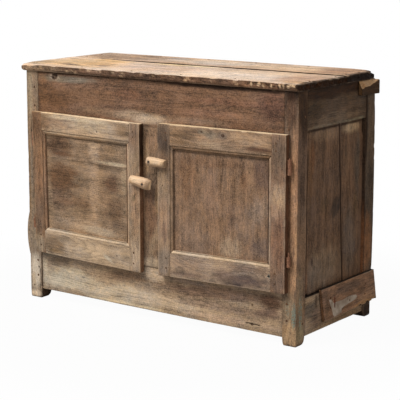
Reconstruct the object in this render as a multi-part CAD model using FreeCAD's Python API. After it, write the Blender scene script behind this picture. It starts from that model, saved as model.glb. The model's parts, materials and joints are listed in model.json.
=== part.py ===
import FreeCAD, Part
import math
import os

# A low two-door cupboard in old softwood. Four posts stand as its feet, and boards and rails
# join them. Two framed doors hang in front of the frame on lift-off hinges, and each is held
# shut by a wooden turn button on the centre stile. All sizes are in millimetres.
# While it is built, X runs to the right from the middle, Y runs back from the front of the
# posts, and Z runs up from the floor.

# Carcass
carcass_width = 1158.0
carcass_depth = 499.0
carcass_height = 844.0

# Posts and the feet at their lower ends
post_width = 54.0
post_depth = 54.0
front_corner_wear = 9.0
rear_corner_wear = 6.0
foot_height = 40.0
foot_floor_width = 45.0
front_foot_floor_depth = 30.0
rear_foot_floor_depth = 38.0
foot_arris = 9.0
foot_shoulder = 24.0

# Front frame
front_rail_thickness = 26.0
front_top_rail_width = 162.0
front_bottom_rail_top = 190.0
front_bottom_rail_left_clearance = 39.0
front_bottom_rail_right_clearance = 29.0
front_bottom_rail_setback = 3.5
centre_stile_width = 100.0
centre_stile_offset = -8.0

# Side walls
side_rail_thickness = 28.0
side_rail_setback = 2.0
side_top_rail_width = 132.0
side_bottom_rail_clearance = 26.0
side_bottom_rail_top = 156.0
side_board_recess = 10.0
side_board_thickness = 11.0
side_board_seam_top = 278.0
side_board_seam_bottom = 317.0
board_shrinkage = 2.5
side_board_front_gap = 4.0
side_board_front_gap_height = 58.0
side_board_worn_width = 15.0
side_board_worn_height = 48.0
side_board_worn_share = 0.33

# Back wall
back_rail_thickness = 22.0
back_top_rail_width = 84.0
back_bottom_rail_clearance = 60.0
back_bottom_rail_width = 80.0
back_board_thickness = 12.0
back_board_count = 4
back_board_clearance = 62.0
back_board_top_gap = 3.0

# Joints of the carcass
tenon_thickness = 9.0
front_tenon_length = 34.0
side_tenon_length = 30.0
stile_tenon_length = 30.0
back_tenon_length = 29.0
tenon_edge_shoulder = 14.0
mortise_fit = 0.15
mortise_spare_depth = 1.0
groove_depth = 9.0
tongue_depth = 8.0
peg_radius = 4.5
peg_length = 38.0
drill_fit = 0.06
top_rail_peg_shares = (0.17, 0.67)
bottom_rail_peg_shares = (0.27, 0.73)
side_rail_peg_share = 0.36

# Floor, shelf and the bearers that carry them
floor_top = 172.0
shelf_top = 458.0
inner_board_thickness = 18.0
inner_board_seam = 262.0
inner_board_gap = 1.5
inner_board_notch_gap = 1.5
bearer_width = 24.0
bearer_height = 26.0

# Top
top_front_board_thickness = 24.0
top_rear_board_thickness = 28.0
top_front_overhang = 13.0
top_rear_overhang = 4.0
top_seam = 290.0
top_seam_gap = 1.5
top_left_overhang = 11.0
top_rear_board_left_overhang = 19.0
top_right_overhang = 9.0
top_edge_flat = 9.0
top_edge_underside_margin = 3.0
top_rotted_corner = 8.0
top_rotted_corner_length = 40.0
top_chip_width = 14.0
top_chip_length = 46.0

# Boards nailed to the sides later in its life
repair_board_thickness = 12.0
repair_board_low = 58.0
repair_board_high = 168.0
repair_board_front_high = 130.0
repair_board_front_low = 160.0
repair_board_rear_high_overhang = 2.0
repair_board_rear_low_overhang = 25.0
repair_board_low_rise = 5.0
repair_slab_thickness = 13.0
repair_slab_edge_thickness = 4.0
repair_slab_low = 160.0
repair_slab_high = 320.0
repair_slab_front = 6.0
repair_slab_rear_margin = 29.0
side_block_length = 105.0
side_block_rear_margin = 10.0
side_block_height = 48.5
side_block_top_gap = 0.5
side_block_near_thickness = 15.0
side_block_far_thickness = 28.0
side_block_hollow = 4.0
side_block_nose_radius = 9.0
side_block_slant = 26.0

# Doors
door_thickness = 22.0
door_seat_gap = 0.3
sticking_width = 13.0
sticking_step = 2.0
sticking_depth = 8.0
door_groove_width = 9.0
door_groove_depth = 10.0
door_tongue_depth = 9.0
door_panel_face_depth = 9.0
door_panel_fit = 0.15
door_tenon_length = 34.0
door_tenon_shoulder = 12.0
door_peg_radius = 3.5
door_peg_inset = 17.0
door_panel_seam_drop = 161.0
door_panel_seam_gap = 0.6
door_stile_lap = 11.5
left_door_margin = 46.0
left_door_low_lap = 8.0
left_door_high_lap = 18.0
left_door_low_sag = 14.0
left_door_high_sag = 8.0
left_door_hinge_stile_width = 45.0
left_door_lock_stile_width = 46.0
left_door_top_rail_width = 64.0
left_door_bottom_rail_width = 84.0
right_door_margin = 33.0
right_door_low_lap = 9.0
right_door_high_lap = 22.0
right_door_low_sag = 9.0
right_door_high_sag = 3.0
right_door_hinge_stile_width = 55.0
right_door_lock_stile_width = 52.0
right_door_top_rail_width = 71.0
right_door_bottom_rail_width = 81.0

# Lift-off hinges: a pin riveted in the lower barrel, on which the door's barrel turns
barrel_radius = 6.5
barrel_wood_gap = 1.0
hinge_pin_radius = 3.0
hinge_pin_fit = 0.06
barrel_end_gap = 0.3
leaf_thickness = 2.5
leaf_fit = 0.2
leaf_width = 38.0
leaf_height = 34.0
post_leaf_depth = 30.0
upper_hinge_drop = 108.0
upper_hinge_barrel = 24.5
upper_hinge_tip = 5.0
lower_hinge_rise = 80.0
lower_hinge_barrel = 16.5
lower_hinge_tip = 16.0
hinge_nail_radius = 1.8
hinge_nail_inset = 27.0
hinge_nail_spacing = 20.0
post_leaf_nail_depth = 19.0

# Turn buttons, whittled by hand
button_front_depth = 45.0
button_door_gap = 0.8
button_boss_gap = 0.3
button_nail_radius = 2.6
button_nail_fit = 0.07
button_nail_head_radius = 4.6
button_nail_head_thickness = 2.6
button_nail_sink = 5.0
button_nail_sink_gap = 0.8
button_nail_stile_depth = 21.0
button_round_share = 0.55
upper_button_offset = 17.0
upper_button_drop = 113.0
upper_button_boss = 14.5
upper_button_arm = 63.0
upper_button_tail = 14.5
upper_button_tilt = 0.0
lower_button_offset = 11.0
lower_button_drop = 193.0
lower_button_boss = 19.0
lower_button_arm = 57.0
lower_button_tail = 19.0
lower_button_tilt = 10.0
button_tip_half_height = 13.5

# Cut nails
nail_radius = 2.0
nail_head_radius = 4.5
nail_head_thickness = 2.0
nail_tip_length = 6.0
nail_tip_radius = 0.5
nail_fit = 0.05
top_nail_length = 58.0
case_nail_length = 34.0
back_nail_length = 26.0
bearer_nail_length = 48.0
bearer_nail_lean_share = 0.5
nail_inset = 34.0
top_nail_x_shares = (-0.62, -0.2, 0.2, 0.62)
repair_nail_shares = (0.12, 0.5, 0.82)

# One overrun serves every cut that runs out of its piece
overrun = 5.0

# Places that follow from the sizes above
half_width = carcass_width / 2
inner_x = half_width - post_width
rear_post_y = carcass_depth - post_depth
front_top_rail_low = carcass_height - front_top_rail_width
side_top_rail_low = carcass_height - side_top_rail_width
side_rail_outer = half_width - side_rail_setback
side_rail_inner = side_rail_outer - side_rail_thickness
side_board_outer = side_rail_outer - side_board_recess
side_board_inner = side_board_outer - side_board_thickness
side_tenon_inner = (side_rail_outer + side_rail_inner - tenon_thickness) / 2
back_board_y = carcass_depth - back_board_thickness
back_rail_y = back_board_y - back_rail_thickness
door_back = -door_seat_gap
door_face = door_back - door_thickness
hinge_axis_y = (door_back + door_face) / 2
hinge_offset = barrel_radius + barrel_wood_gap


# Each door's places, where out is a distance from the middle of the cupboard
stile_left = centre_stile_offset - centre_stile_width / 2
stile_right = centre_stile_offset + centre_stile_width / 2
left_door = {
    "side": -1,
    "hinge_edge": half_width - left_door_margin,
    "free_edge": -stile_left - door_stile_lap,
    "low": front_bottom_rail_top - left_door_low_lap,
    "high": front_top_rail_low + left_door_high_lap,
    "low_sag": left_door_low_sag,
    "high_sag": left_door_high_sag,
    "hinge_stile": left_door_hinge_stile_width,
    "lock_stile": left_door_lock_stile_width,
    "top_rail": left_door_top_rail_width,
    "bottom_rail": left_door_bottom_rail_width,
}
right_door = {
    "side": 1,
    "hinge_edge": half_width - right_door_margin,
    "free_edge": stile_right - door_stile_lap,
    "low": front_bottom_rail_top - right_door_low_lap,
    "high": front_top_rail_low + right_door_high_lap,
    "low_sag": right_door_low_sag,
    "high_sag": right_door_high_sag,
    "hinge_stile": right_door_hinge_stile_width,
    "lock_stile": right_door_lock_stile_width,
    "top_rail": right_door_top_rail_width,
    "bottom_rail": right_door_bottom_rail_width,
}
upper_hinge = {
    "low": front_top_rail_low - upper_hinge_drop,
    "barrel": upper_hinge_barrel,
    "tip": upper_hinge_tip,
}
lower_hinge = {
    "low": front_bottom_rail_top + lower_hinge_rise,
    "barrel": lower_hinge_barrel,
    "tip": lower_hinge_tip,
}
upper_button = {
    "pivot": (centre_stile_offset + upper_button_offset, front_top_rail_low - upper_button_drop),
    "boss": upper_button_boss,
    "arm": upper_button_arm,
    "tail": upper_button_tail,
    "tilt": upper_button_tilt,
    "towards": 1,
}
lower_button = {
    "pivot": (centre_stile_offset - lower_button_offset, front_top_rail_low - lower_button_drop),
    "boss": lower_button_boss,
    "arm": lower_button_arm,
    "tail": lower_button_tail,
    "tilt": lower_button_tilt,
    "towards": -1,
}

# How far the middle of a quarter round lies from its tangent lines, as a share of its radius
quarter_share = 1 - math.cos(math.pi / 4)

Vec = FreeCAD.Vector

# Each piece by its name, and the like fasteners that share one name
pieces = {}
groups = {}


def block(x, y, z):
    """A box between two places along each axis, in either order."""
    low = Vec(min(x), min(y), min(z))
    high = Vec(max(x), max(y), max(z))
    size = high - low
    return Part.makeBox(size.x, size.y, size.z, low)


def place(plane, level, a, b):
    """A point at these two coordinates of a plane, at this level of the third axis."""
    if plane == "xy":
        return Vec(a, b, level)
    if plane == "xz":
        return Vec(a, level, b)
    return Vec(level, a, b)


def rounded(corners):
    """An outline from corners (a, b, radius). An arc is kept as (point on it, its end)."""
    outline = []
    for number, (a, b, radius) in enumerate(corners):
        if not radius:
            outline.append((a, b))
            continue
        here = Vec(a, b, 0)
        back = Vec(*corners[number - 1][:2], 0) - here
        ahead = Vec(*corners[(number + 1) % len(corners)][:2], 0) - here
        back.normalize()
        ahead.normalize()
        half = back.getAngle(ahead) / 2
        bisector = back + ahead
        bisector.normalize()
        start = here + back * (radius / math.tan(half))
        end = here + ahead * (radius / math.tan(half))
        middle = here + bisector * (radius / math.sin(half) - radius)
        outline.append((start.x, start.y))
        outline.append(((middle.x, middle.y), (end.x, end.y)))
    return outline


def prism(plane, levels, outline):
    """A solid of one section, between two levels across its plane."""
    low, high = min(levels), max(levels)
    here = place(plane, low, *outline[0])
    edges = []
    for step in outline[1:] + outline[:1]:
        if isinstance(step[0], tuple):
            there = place(plane, low, *step[1])
            edges.append(Part.Arc(here, place(plane, low, *step[0]), there).toShape())
        else:
            there = place(plane, low, *step)
            edges.append(Part.LineSegment(here, there).toShape())
        here = there
    along = place(plane, high, *outline[0]) - place(plane, low, *outline[0])
    return Part.Face(Part.Wire(edges)).extrude(along)


def one_solid(shape):
    """The single solid that a cut or a union leaves, without seams across its faces."""
    return shape.removeSplitter().Solids[0]


def join(name, *shapes):
    """Fuse these to a piece."""
    pieces[name] = one_solid(pieces[name].multiFuse(list(shapes)))


def carve(name, *shapes):
    """Cut these from a piece."""
    pieces[name] = one_solid(pieces[name].cut(list(shapes)))


def tenon(rail, socket_piece, x, y, z, along):
    """A tenon on a rail and its mortise. The tenon's place along its axis runs shoulder to tip."""
    spans = {"x": x, "y": y, "z": z}
    join(rail, block(x, y, z))
    for axis, span in spans.items():
        if axis == along:
            shoulder, tip = span
            reach = math.copysign(1.0, tip - shoulder)
            spans[axis] = (shoulder - reach * overrun, tip + reach * mortise_spare_depth)
        else:
            spans[axis] = (min(span) - mortise_fit, max(span) + mortise_fit)
    carve(socket_piece, block(spans["x"], spans["y"], spans["z"]))


def drill(shape, names):
    """Cut a hole through each named piece that it meets."""
    for name in names:
        if pieces[name].BoundBox.intersect(shape.BoundBox):
            carve(name, shape)


def peg(group, radius, start, along, length, names):
    """A peg with its hole through the named pieces."""
    drill(Part.makeCylinder(radius + drill_fit, length, start, along), names)
    groups.setdefault(group, []).append(Part.makeCylinder(radius, length, start, along))


def nail(group, start, along, length, names):
    """A nail from its head at start, flush with the surface, with its hole."""
    head = Part.makeCylinder(nail_head_radius, nail_head_thickness, start, along)
    shank_length = length - nail_tip_length
    shank = Part.makeCylinder(nail_radius, shank_length, start, along)
    tip_start = start + along * shank_length
    tip = Part.makeCone(nail_radius, nail_tip_radius, nail_tip_length, tip_start, along)
    head_hole_radius = nail_head_radius + nail_fit
    head_hole = Part.makeCylinder(head_hole_radius, nail_head_thickness + nail_fit, start, along)
    hole = Part.makeCylinder(nail_radius + nail_fit, length + nail_fit, start, along)
    drill(head_hole.fuse(hole), names)
    groups.setdefault(group, []).append(one_solid(head.multiFuse([shank, tip])))


# Posts, with their feet
def make_post(name, side, front):
    outer = side * half_width
    inner = side * inner_x
    foot_inner = side * (half_width - foot_floor_width)
    face = 0 if front else carcass_depth
    hidden = post_depth if front else rear_post_y
    floor_depth = front_foot_floor_depth if front else rear_foot_floor_depth
    foot_hidden = floor_depth if front else carcass_depth - floor_depth
    wear = front_corner_wear if front else rear_corner_wear
    section = rounded([
        (outer, face, wear),
        (inner, face, 0),
        (inner, hidden, 0),
        (outer, hidden, 0),
    ])
    front_view = rounded([
        (outer, carcass_height, 0),
        (outer, 0, foot_arris),
        (foot_inner, 0, foot_arris),
        (inner, foot_height, foot_shoulder),
        (inner, carcass_height, 0),
    ])
    side_view = rounded([
        (face, carcass_height, 0),
        (face, 0, foot_arris),
        (foot_hidden, 0, foot_arris),
        (hidden, foot_height, foot_shoulder),
        (hidden, carcass_height, 0),
    ])
    across = (-overrun, carcass_depth + overrun)
    shape = prism("xy", (0, carcass_height), section)
    shape = shape.common(prism("xz", across, front_view))
    along = (-half_width - overrun, half_width + overrun)
    pieces[name] = one_solid(shape.common(prism("yz", along, side_view)))


for side_name, side in (("left", -1), ("right", 1)):
    make_post("front_" + side_name + "_post", side, True)
    make_post("rear_" + side_name + "_post", side, False)

# Front frame: a deep top rail, a bottom rail whose lower edge slopes, and a centre stile
pieces["front_top_rail"] = block(
    (-inner_x, inner_x), (0, front_rail_thickness), (front_top_rail_low, carcass_height)
)
bottom_rail_y = (front_bottom_rail_setback, front_bottom_rail_setback + front_rail_thickness)
pieces["front_bottom_rail"] = prism("xz", bottom_rail_y, [
    (-inner_x, front_bottom_rail_left_clearance),
    (inner_x, front_bottom_rail_right_clearance),
    (inner_x, front_bottom_rail_top),
    (-inner_x, front_bottom_rail_top),
])
pieces["centre_stile"] = block(
    (stile_left, stile_right),
    (0, front_rail_thickness),
    (front_bottom_rail_top, front_top_rail_low),
)
front_tenon_low = (front_rail_thickness - tenon_thickness) / 2
front_tenon_y = (front_tenon_low, front_tenon_low + tenon_thickness)
bottom_tenon_y = tuple(y + front_bottom_rail_setback for y in front_tenon_y)
top_rail_tenon_z = (
    front_top_rail_low + tenon_edge_shoulder,
    carcass_height - tenon_edge_shoulder,
)
bottom_rail_tenon_z = (
    front_bottom_rail_left_clearance + tenon_edge_shoulder,
    front_bottom_rail_top - tenon_edge_shoulder,
)
for side_name, side in (("left", -1), ("right", 1)):
    post = "front_" + side_name + "_post"
    reach = (side * inner_x, side * (inner_x + front_tenon_length))
    tenon("front_top_rail", post, reach, front_tenon_y, top_rail_tenon_z, "x")
    tenon("front_bottom_rail", post, reach, bottom_tenon_y, bottom_rail_tenon_z, "x")
stile_tenon_x = (stile_left + tenon_edge_shoulder, stile_right - tenon_edge_shoulder)
stile_up = (front_top_rail_low, front_top_rail_low + stile_tenon_length)
stile_down = (front_bottom_rail_top, front_bottom_rail_top - stile_tenon_length)
tenon("centre_stile", "front_top_rail", stile_tenon_x, front_tenon_y, stile_up, "z")
tenon("centre_stile", "front_bottom_rail", stile_tenon_x, front_tenon_y, stile_down, "z")


# Side walls: two rails and two upright boards that stand in grooves
def make_side(side_name, side):
    rail_x = (side * side_rail_inner, side * side_rail_outer)
    between = (post_depth, rear_post_y)
    top_rail = side_name + "_side_top_rail"
    bottom_rail = side_name + "_side_bottom_rail"
    front_post = "front_" + side_name + "_post"
    rear_post = "rear_" + side_name + "_post"
    top_z = (side_top_rail_low, carcass_height)
    bottom_z = (side_bottom_rail_clearance, side_bottom_rail_top)
    pieces[top_rail] = block(rail_x, between, top_z)
    pieces[bottom_rail] = block(rail_x, between, bottom_z)
    tenon_x = (side * side_tenon_inner, side * (side_tenon_inner + tenon_thickness))
    for rail, span in ((top_rail, top_z), (bottom_rail, bottom_z)):
        tenon_z = (span[0] + tenon_edge_shoulder, span[1] - tenon_edge_shoulder)
        front_reach = (post_depth, post_depth - side_tenon_length)
        rear_reach = (rear_post_y, rear_post_y + side_tenon_length)
        tenon(rail, front_post, tenon_x, front_reach, tenon_z, "y")
        tenon(rail, rear_post, tenon_x, rear_reach, tenon_z, "y")
    groove_x = (
        side * (side_board_inner - mortise_fit),
        side * (side_board_outer + mortise_fit),
    )
    opening_z = (side_bottom_rail_top - groove_depth, side_top_rail_low + groove_depth)
    low_groove = (side_bottom_rail_top - groove_depth, side_bottom_rail_top + overrun)
    high_groove = (side_top_rail_low - overrun, side_top_rail_low + groove_depth)
    carve(bottom_rail, block(groove_x, between, low_groove))
    carve(top_rail, block(groove_x, between, high_groove))
    front_groove = (post_depth - groove_depth, post_depth + overrun)
    rear_groove = (rear_post_y - overrun, rear_post_y + groove_depth)
    carve(front_post, block(groove_x, front_groove, opening_z))
    carve(rear_post, block(groove_x, rear_groove, opening_z))
    board_x = (side * side_board_inner, side * side_board_outer)
    low = side_bottom_rail_top - tongue_depth
    high = side_top_rail_low + tongue_depth
    front = post_depth - tongue_depth
    rear = rear_post_y + tongue_depth
    front_outline = [(front, low), (side_board_seam_bottom - board_shrinkage / 2, low)]
    front_outline.append((side_board_seam_top - board_shrinkage / 2, high))
    rear_outline = [(side_board_seam_bottom + board_shrinkage / 2, low), (rear, low)]
    if side > 0:
        gap_low = side_top_rail_low - side_board_front_gap_height
        gap_y = post_depth + side_board_front_gap
        front_outline += [(gap_y, high), (gap_y, gap_low), (front, gap_low - tongue_depth)]
        worn_low = side_top_rail_low - side_board_worn_height
        worn_y = rear_post_y - side_board_worn_width
        worn_middle_y = worn_y + side_board_worn_width * side_board_worn_share
        worn_middle = (worn_middle_y, side_top_rail_low - tongue_depth)
        rear_outline += [(rear, worn_low), (worn_middle, (worn_y, high))]
    else:
        front_outline.append((front, high))
        rear_outline.append((rear, high))
    rear_outline.append((side_board_seam_top + board_shrinkage / 2, high))
    pieces[side_name + "_side_front_board"] = prism("yz", board_x, front_outline)
    pieces[side_name + "_side_rear_board"] = prism("yz", board_x, rear_outline)


make_side("left", -1)
make_side("right", 1)

# Back wall: two rails between the rear posts, and upright boards nailed on them
back_rail_span = (back_rail_y, back_board_y)
back_top_z = (carcass_height - back_top_rail_width, carcass_height)
back_bottom_z = (
    back_bottom_rail_clearance,
    back_bottom_rail_clearance + back_bottom_rail_width,
)
back_tenon_low = back_rail_y + (back_rail_thickness - tenon_thickness) / 2
back_tenon_y = (back_tenon_low, back_tenon_low + tenon_thickness)
for rail, span in (("back_top_rail", back_top_z), ("back_bottom_rail", back_bottom_z)):
    pieces[rail] = block((-inner_x, inner_x), back_rail_span, span)
    tenon_z = (span[0] + tenon_edge_shoulder, span[1] - tenon_edge_shoulder)
    for side_name, side in (("left", -1), ("right", 1)):
        reach = (side * inner_x, side * (inner_x + back_tenon_length))
        tenon(rail, "rear_" + side_name + "_post", reach, back_tenon_y, tenon_z, "x")
back_board_pitch = (2 * inner_x + board_shrinkage) / back_board_count
back_board_z = (back_board_clearance, carcass_height - back_board_top_gap)
back_board_names = ["back_board_" + str(n + 1) for n in range(back_board_count)]
back_board_lefts = [-inner_x + n * back_board_pitch for n in range(back_board_count)]
for name, left in zip(back_board_names, back_board_lefts):
    span = (left, left + back_board_pitch - board_shrinkage)
    pieces[name] = block(span, (back_board_y, carcass_depth), back_board_z)


# Floor and shelf: boards notched round the posts, on bearers along the side walls
def notched_board(name, y, top):
    reach = side_rail_inner - inner_board_notch_gap
    z = (top - inner_board_thickness, top)
    board = block((-reach, reach), y, z)
    corner_x = inner_x - inner_board_notch_gap
    for side in (-1, 1):
        notch_x = (side * corner_x, side * (reach + overrun))
        front = (-overrun, post_depth + inner_board_notch_gap)
        rear = (rear_post_y - inner_board_notch_gap, carcass_depth)
        cut_z = (z[0] - overrun, z[1] + overrun)
        board = board.cut([block(notch_x, front, cut_z), block(notch_x, rear, cut_z)])
    pieces[name] = one_solid(board)


inner_front_y = bottom_rail_y[1] + inner_board_gap
inner_rear_y = back_rail_y - inner_board_gap
inner_spans = {
    "front": (inner_front_y, inner_board_seam - inner_board_gap / 2),
    "rear": (inner_board_seam + inner_board_gap / 2, inner_rear_y),
}
for storey, top in (("floor", floor_top), ("shelf", shelf_top)):
    for where, span in inner_spans.items():
        notched_board(storey + "_" + where + "_board", span, top)
    for side_name, side in (("left", -1), ("right", 1)):
        bearer_x = (side * (side_rail_inner - bearer_width), side * side_rail_inner)
        under = top - inner_board_thickness
        name = side_name + "_" + storey + "_bearer"
        pieces[name] = block(bearer_x, (post_depth, rear_post_y), (under - bearer_height, under))


# Top: two boards. The front and left edges are rounded under, and the right end has rotted
def edge_cutter(plane, levels, edge, overhang, thickness):
    """What a rounded-under edge leaves out below its upright part."""
    foot = edge + overhang - top_edge_underside_margin
    upright = carcass_height + thickness - top_edge_flat
    middle_in = edge + (foot - edge) * quarter_share
    middle = (middle_in, carcass_height + (upright - carcass_height) * quarter_share)
    outside = edge - overrun
    below = carcass_height - overrun
    return prism(plane, levels, [
        (outside, below),
        (foot, below),
        (foot, carcass_height),
        (middle, (edge, upright)),
        (outside, upright),
    ])


top_front = -top_front_overhang
top_left = -half_width - top_left_overhang
top_rear_left = -half_width - top_rear_board_left_overhang
top_right = half_width + top_right_overhang
top_rear = carcass_depth + top_rear_overhang
front_board_rear = top_seam - top_seam_gap / 2
rear_board_front = top_seam + top_seam_gap / 2
pieces["top_front_board"] = prism(
    "xy",
    (carcass_height, carcass_height + top_front_board_thickness),
    rounded([
        (top_left, top_front, foot_arris),
        (top_right - top_rotted_corner, top_front, top_rotted_corner),
        (top_right, top_front + top_rotted_corner_length, top_rotted_corner_length / 2),
        (top_right, front_board_rear, 0),
        (top_left, front_board_rear, 0),
    ]),
)
pieces["top_rear_board"] = prism(
    "xy",
    (carcass_height, carcass_height + top_rear_board_thickness),
    rounded([
        (top_rear_left, rear_board_front, 0),
        (top_right, rear_board_front, 0),
        (top_right, top_rear - top_chip_length, top_chip_width),
        (top_right - top_chip_width, top_rear, foot_arris),
        (top_rear_left, top_rear, foot_arris),
    ]),
)
full_x = (top_rear_left - overrun, top_right + overrun)
full_y = (top_front - overrun, top_rear + overrun)
carve(
    "top_front_board",
    edge_cutter("yz", full_x, top_front, top_front_overhang, top_front_board_thickness),
    edge_cutter("xz", full_y, top_left, top_left_overhang, top_front_board_thickness),
)
rear_left_overhang = top_rear_board_left_overhang
rear_edge = edge_cutter("xz", full_y, top_rear_left, rear_left_overhang, top_rear_board_thickness)
carve("top_rear_board", rear_edge)

# Boards added to the sides: a board over the right lower rail, a waney slab on the left,
# and a hollowed block below the right end of the top, its upper near corner cut to a slant
repair_x = (half_width, half_width + repair_board_thickness)
repair_board_rear_high = carcass_depth + repair_board_rear_high_overhang
repair_board_rear_low = carcass_depth + repair_board_rear_low_overhang
pieces["right_repair_board"] = prism("yz", repair_x, [
    (repair_board_front_low, repair_board_low),
    (repair_board_rear_low, repair_board_low + repair_board_low_rise),
    (repair_board_rear_high, repair_board_high),
    (repair_board_front_high, repair_board_high),
])
slab_edge = -half_width - repair_slab_edge_thickness
slab_crown = -half_width - repair_slab_thickness
slab_middle = (repair_slab_low + repair_slab_high) / 2
slab_y = (repair_slab_front, carcass_depth - repair_slab_rear_margin)
pieces["left_repair_slab"] = prism("xz", slab_y, [
    (-half_width, repair_slab_low),
    (slab_edge, repair_slab_low),
    ((slab_crown, slab_middle), (slab_edge, repair_slab_high)),
    (-half_width, repair_slab_high),
])
side_block_rear = carcass_depth - side_block_rear_margin
side_block_front = side_block_rear - side_block_length
block_middle = (side_block_front + side_block_rear) / 2
block_bow = (side_block_near_thickness + side_block_far_thickness) / 2 - side_block_hollow
block_nose = half_width + side_block_far_thickness
nose_start = side_block_rear - side_block_nose_radius
nose_middle = (
    block_nose - side_block_nose_radius * quarter_share,
    side_block_rear - side_block_nose_radius * quarter_share,
)
side_block_high = carcass_height - side_block_top_gap
side_block_low = side_block_high - side_block_height
pieces["side_block"] = prism("xy", (side_block_low, side_block_high), [
    (half_width, side_block_front),
    (half_width + side_block_near_thickness, side_block_front),
    ((half_width + block_bow, block_middle), (block_nose, nose_start)),
    (nose_middle, (block_nose - side_block_nose_radius, side_block_rear)),
    (half_width, side_block_rear),
])
slant_start = Vec(half_width, side_block_front, side_block_high)
slant_along = Vec(block_nose, nose_start, side_block_high) - slant_start
slant_down = Vec(side_block_near_thickness, 0, -side_block_slant)
slant_near = slant_start - slant_along
slant_far = slant_start + slant_along + slant_along
slant_face = Part.Face(Part.makePolygon([
    slant_near, slant_far, slant_far + slant_down + slant_down + slant_down,
    slant_near + slant_down + slant_down + slant_down, slant_near,
]))
carve("side_block", slant_face.extrude(Vec(0, 0, side_block_length)))


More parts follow.
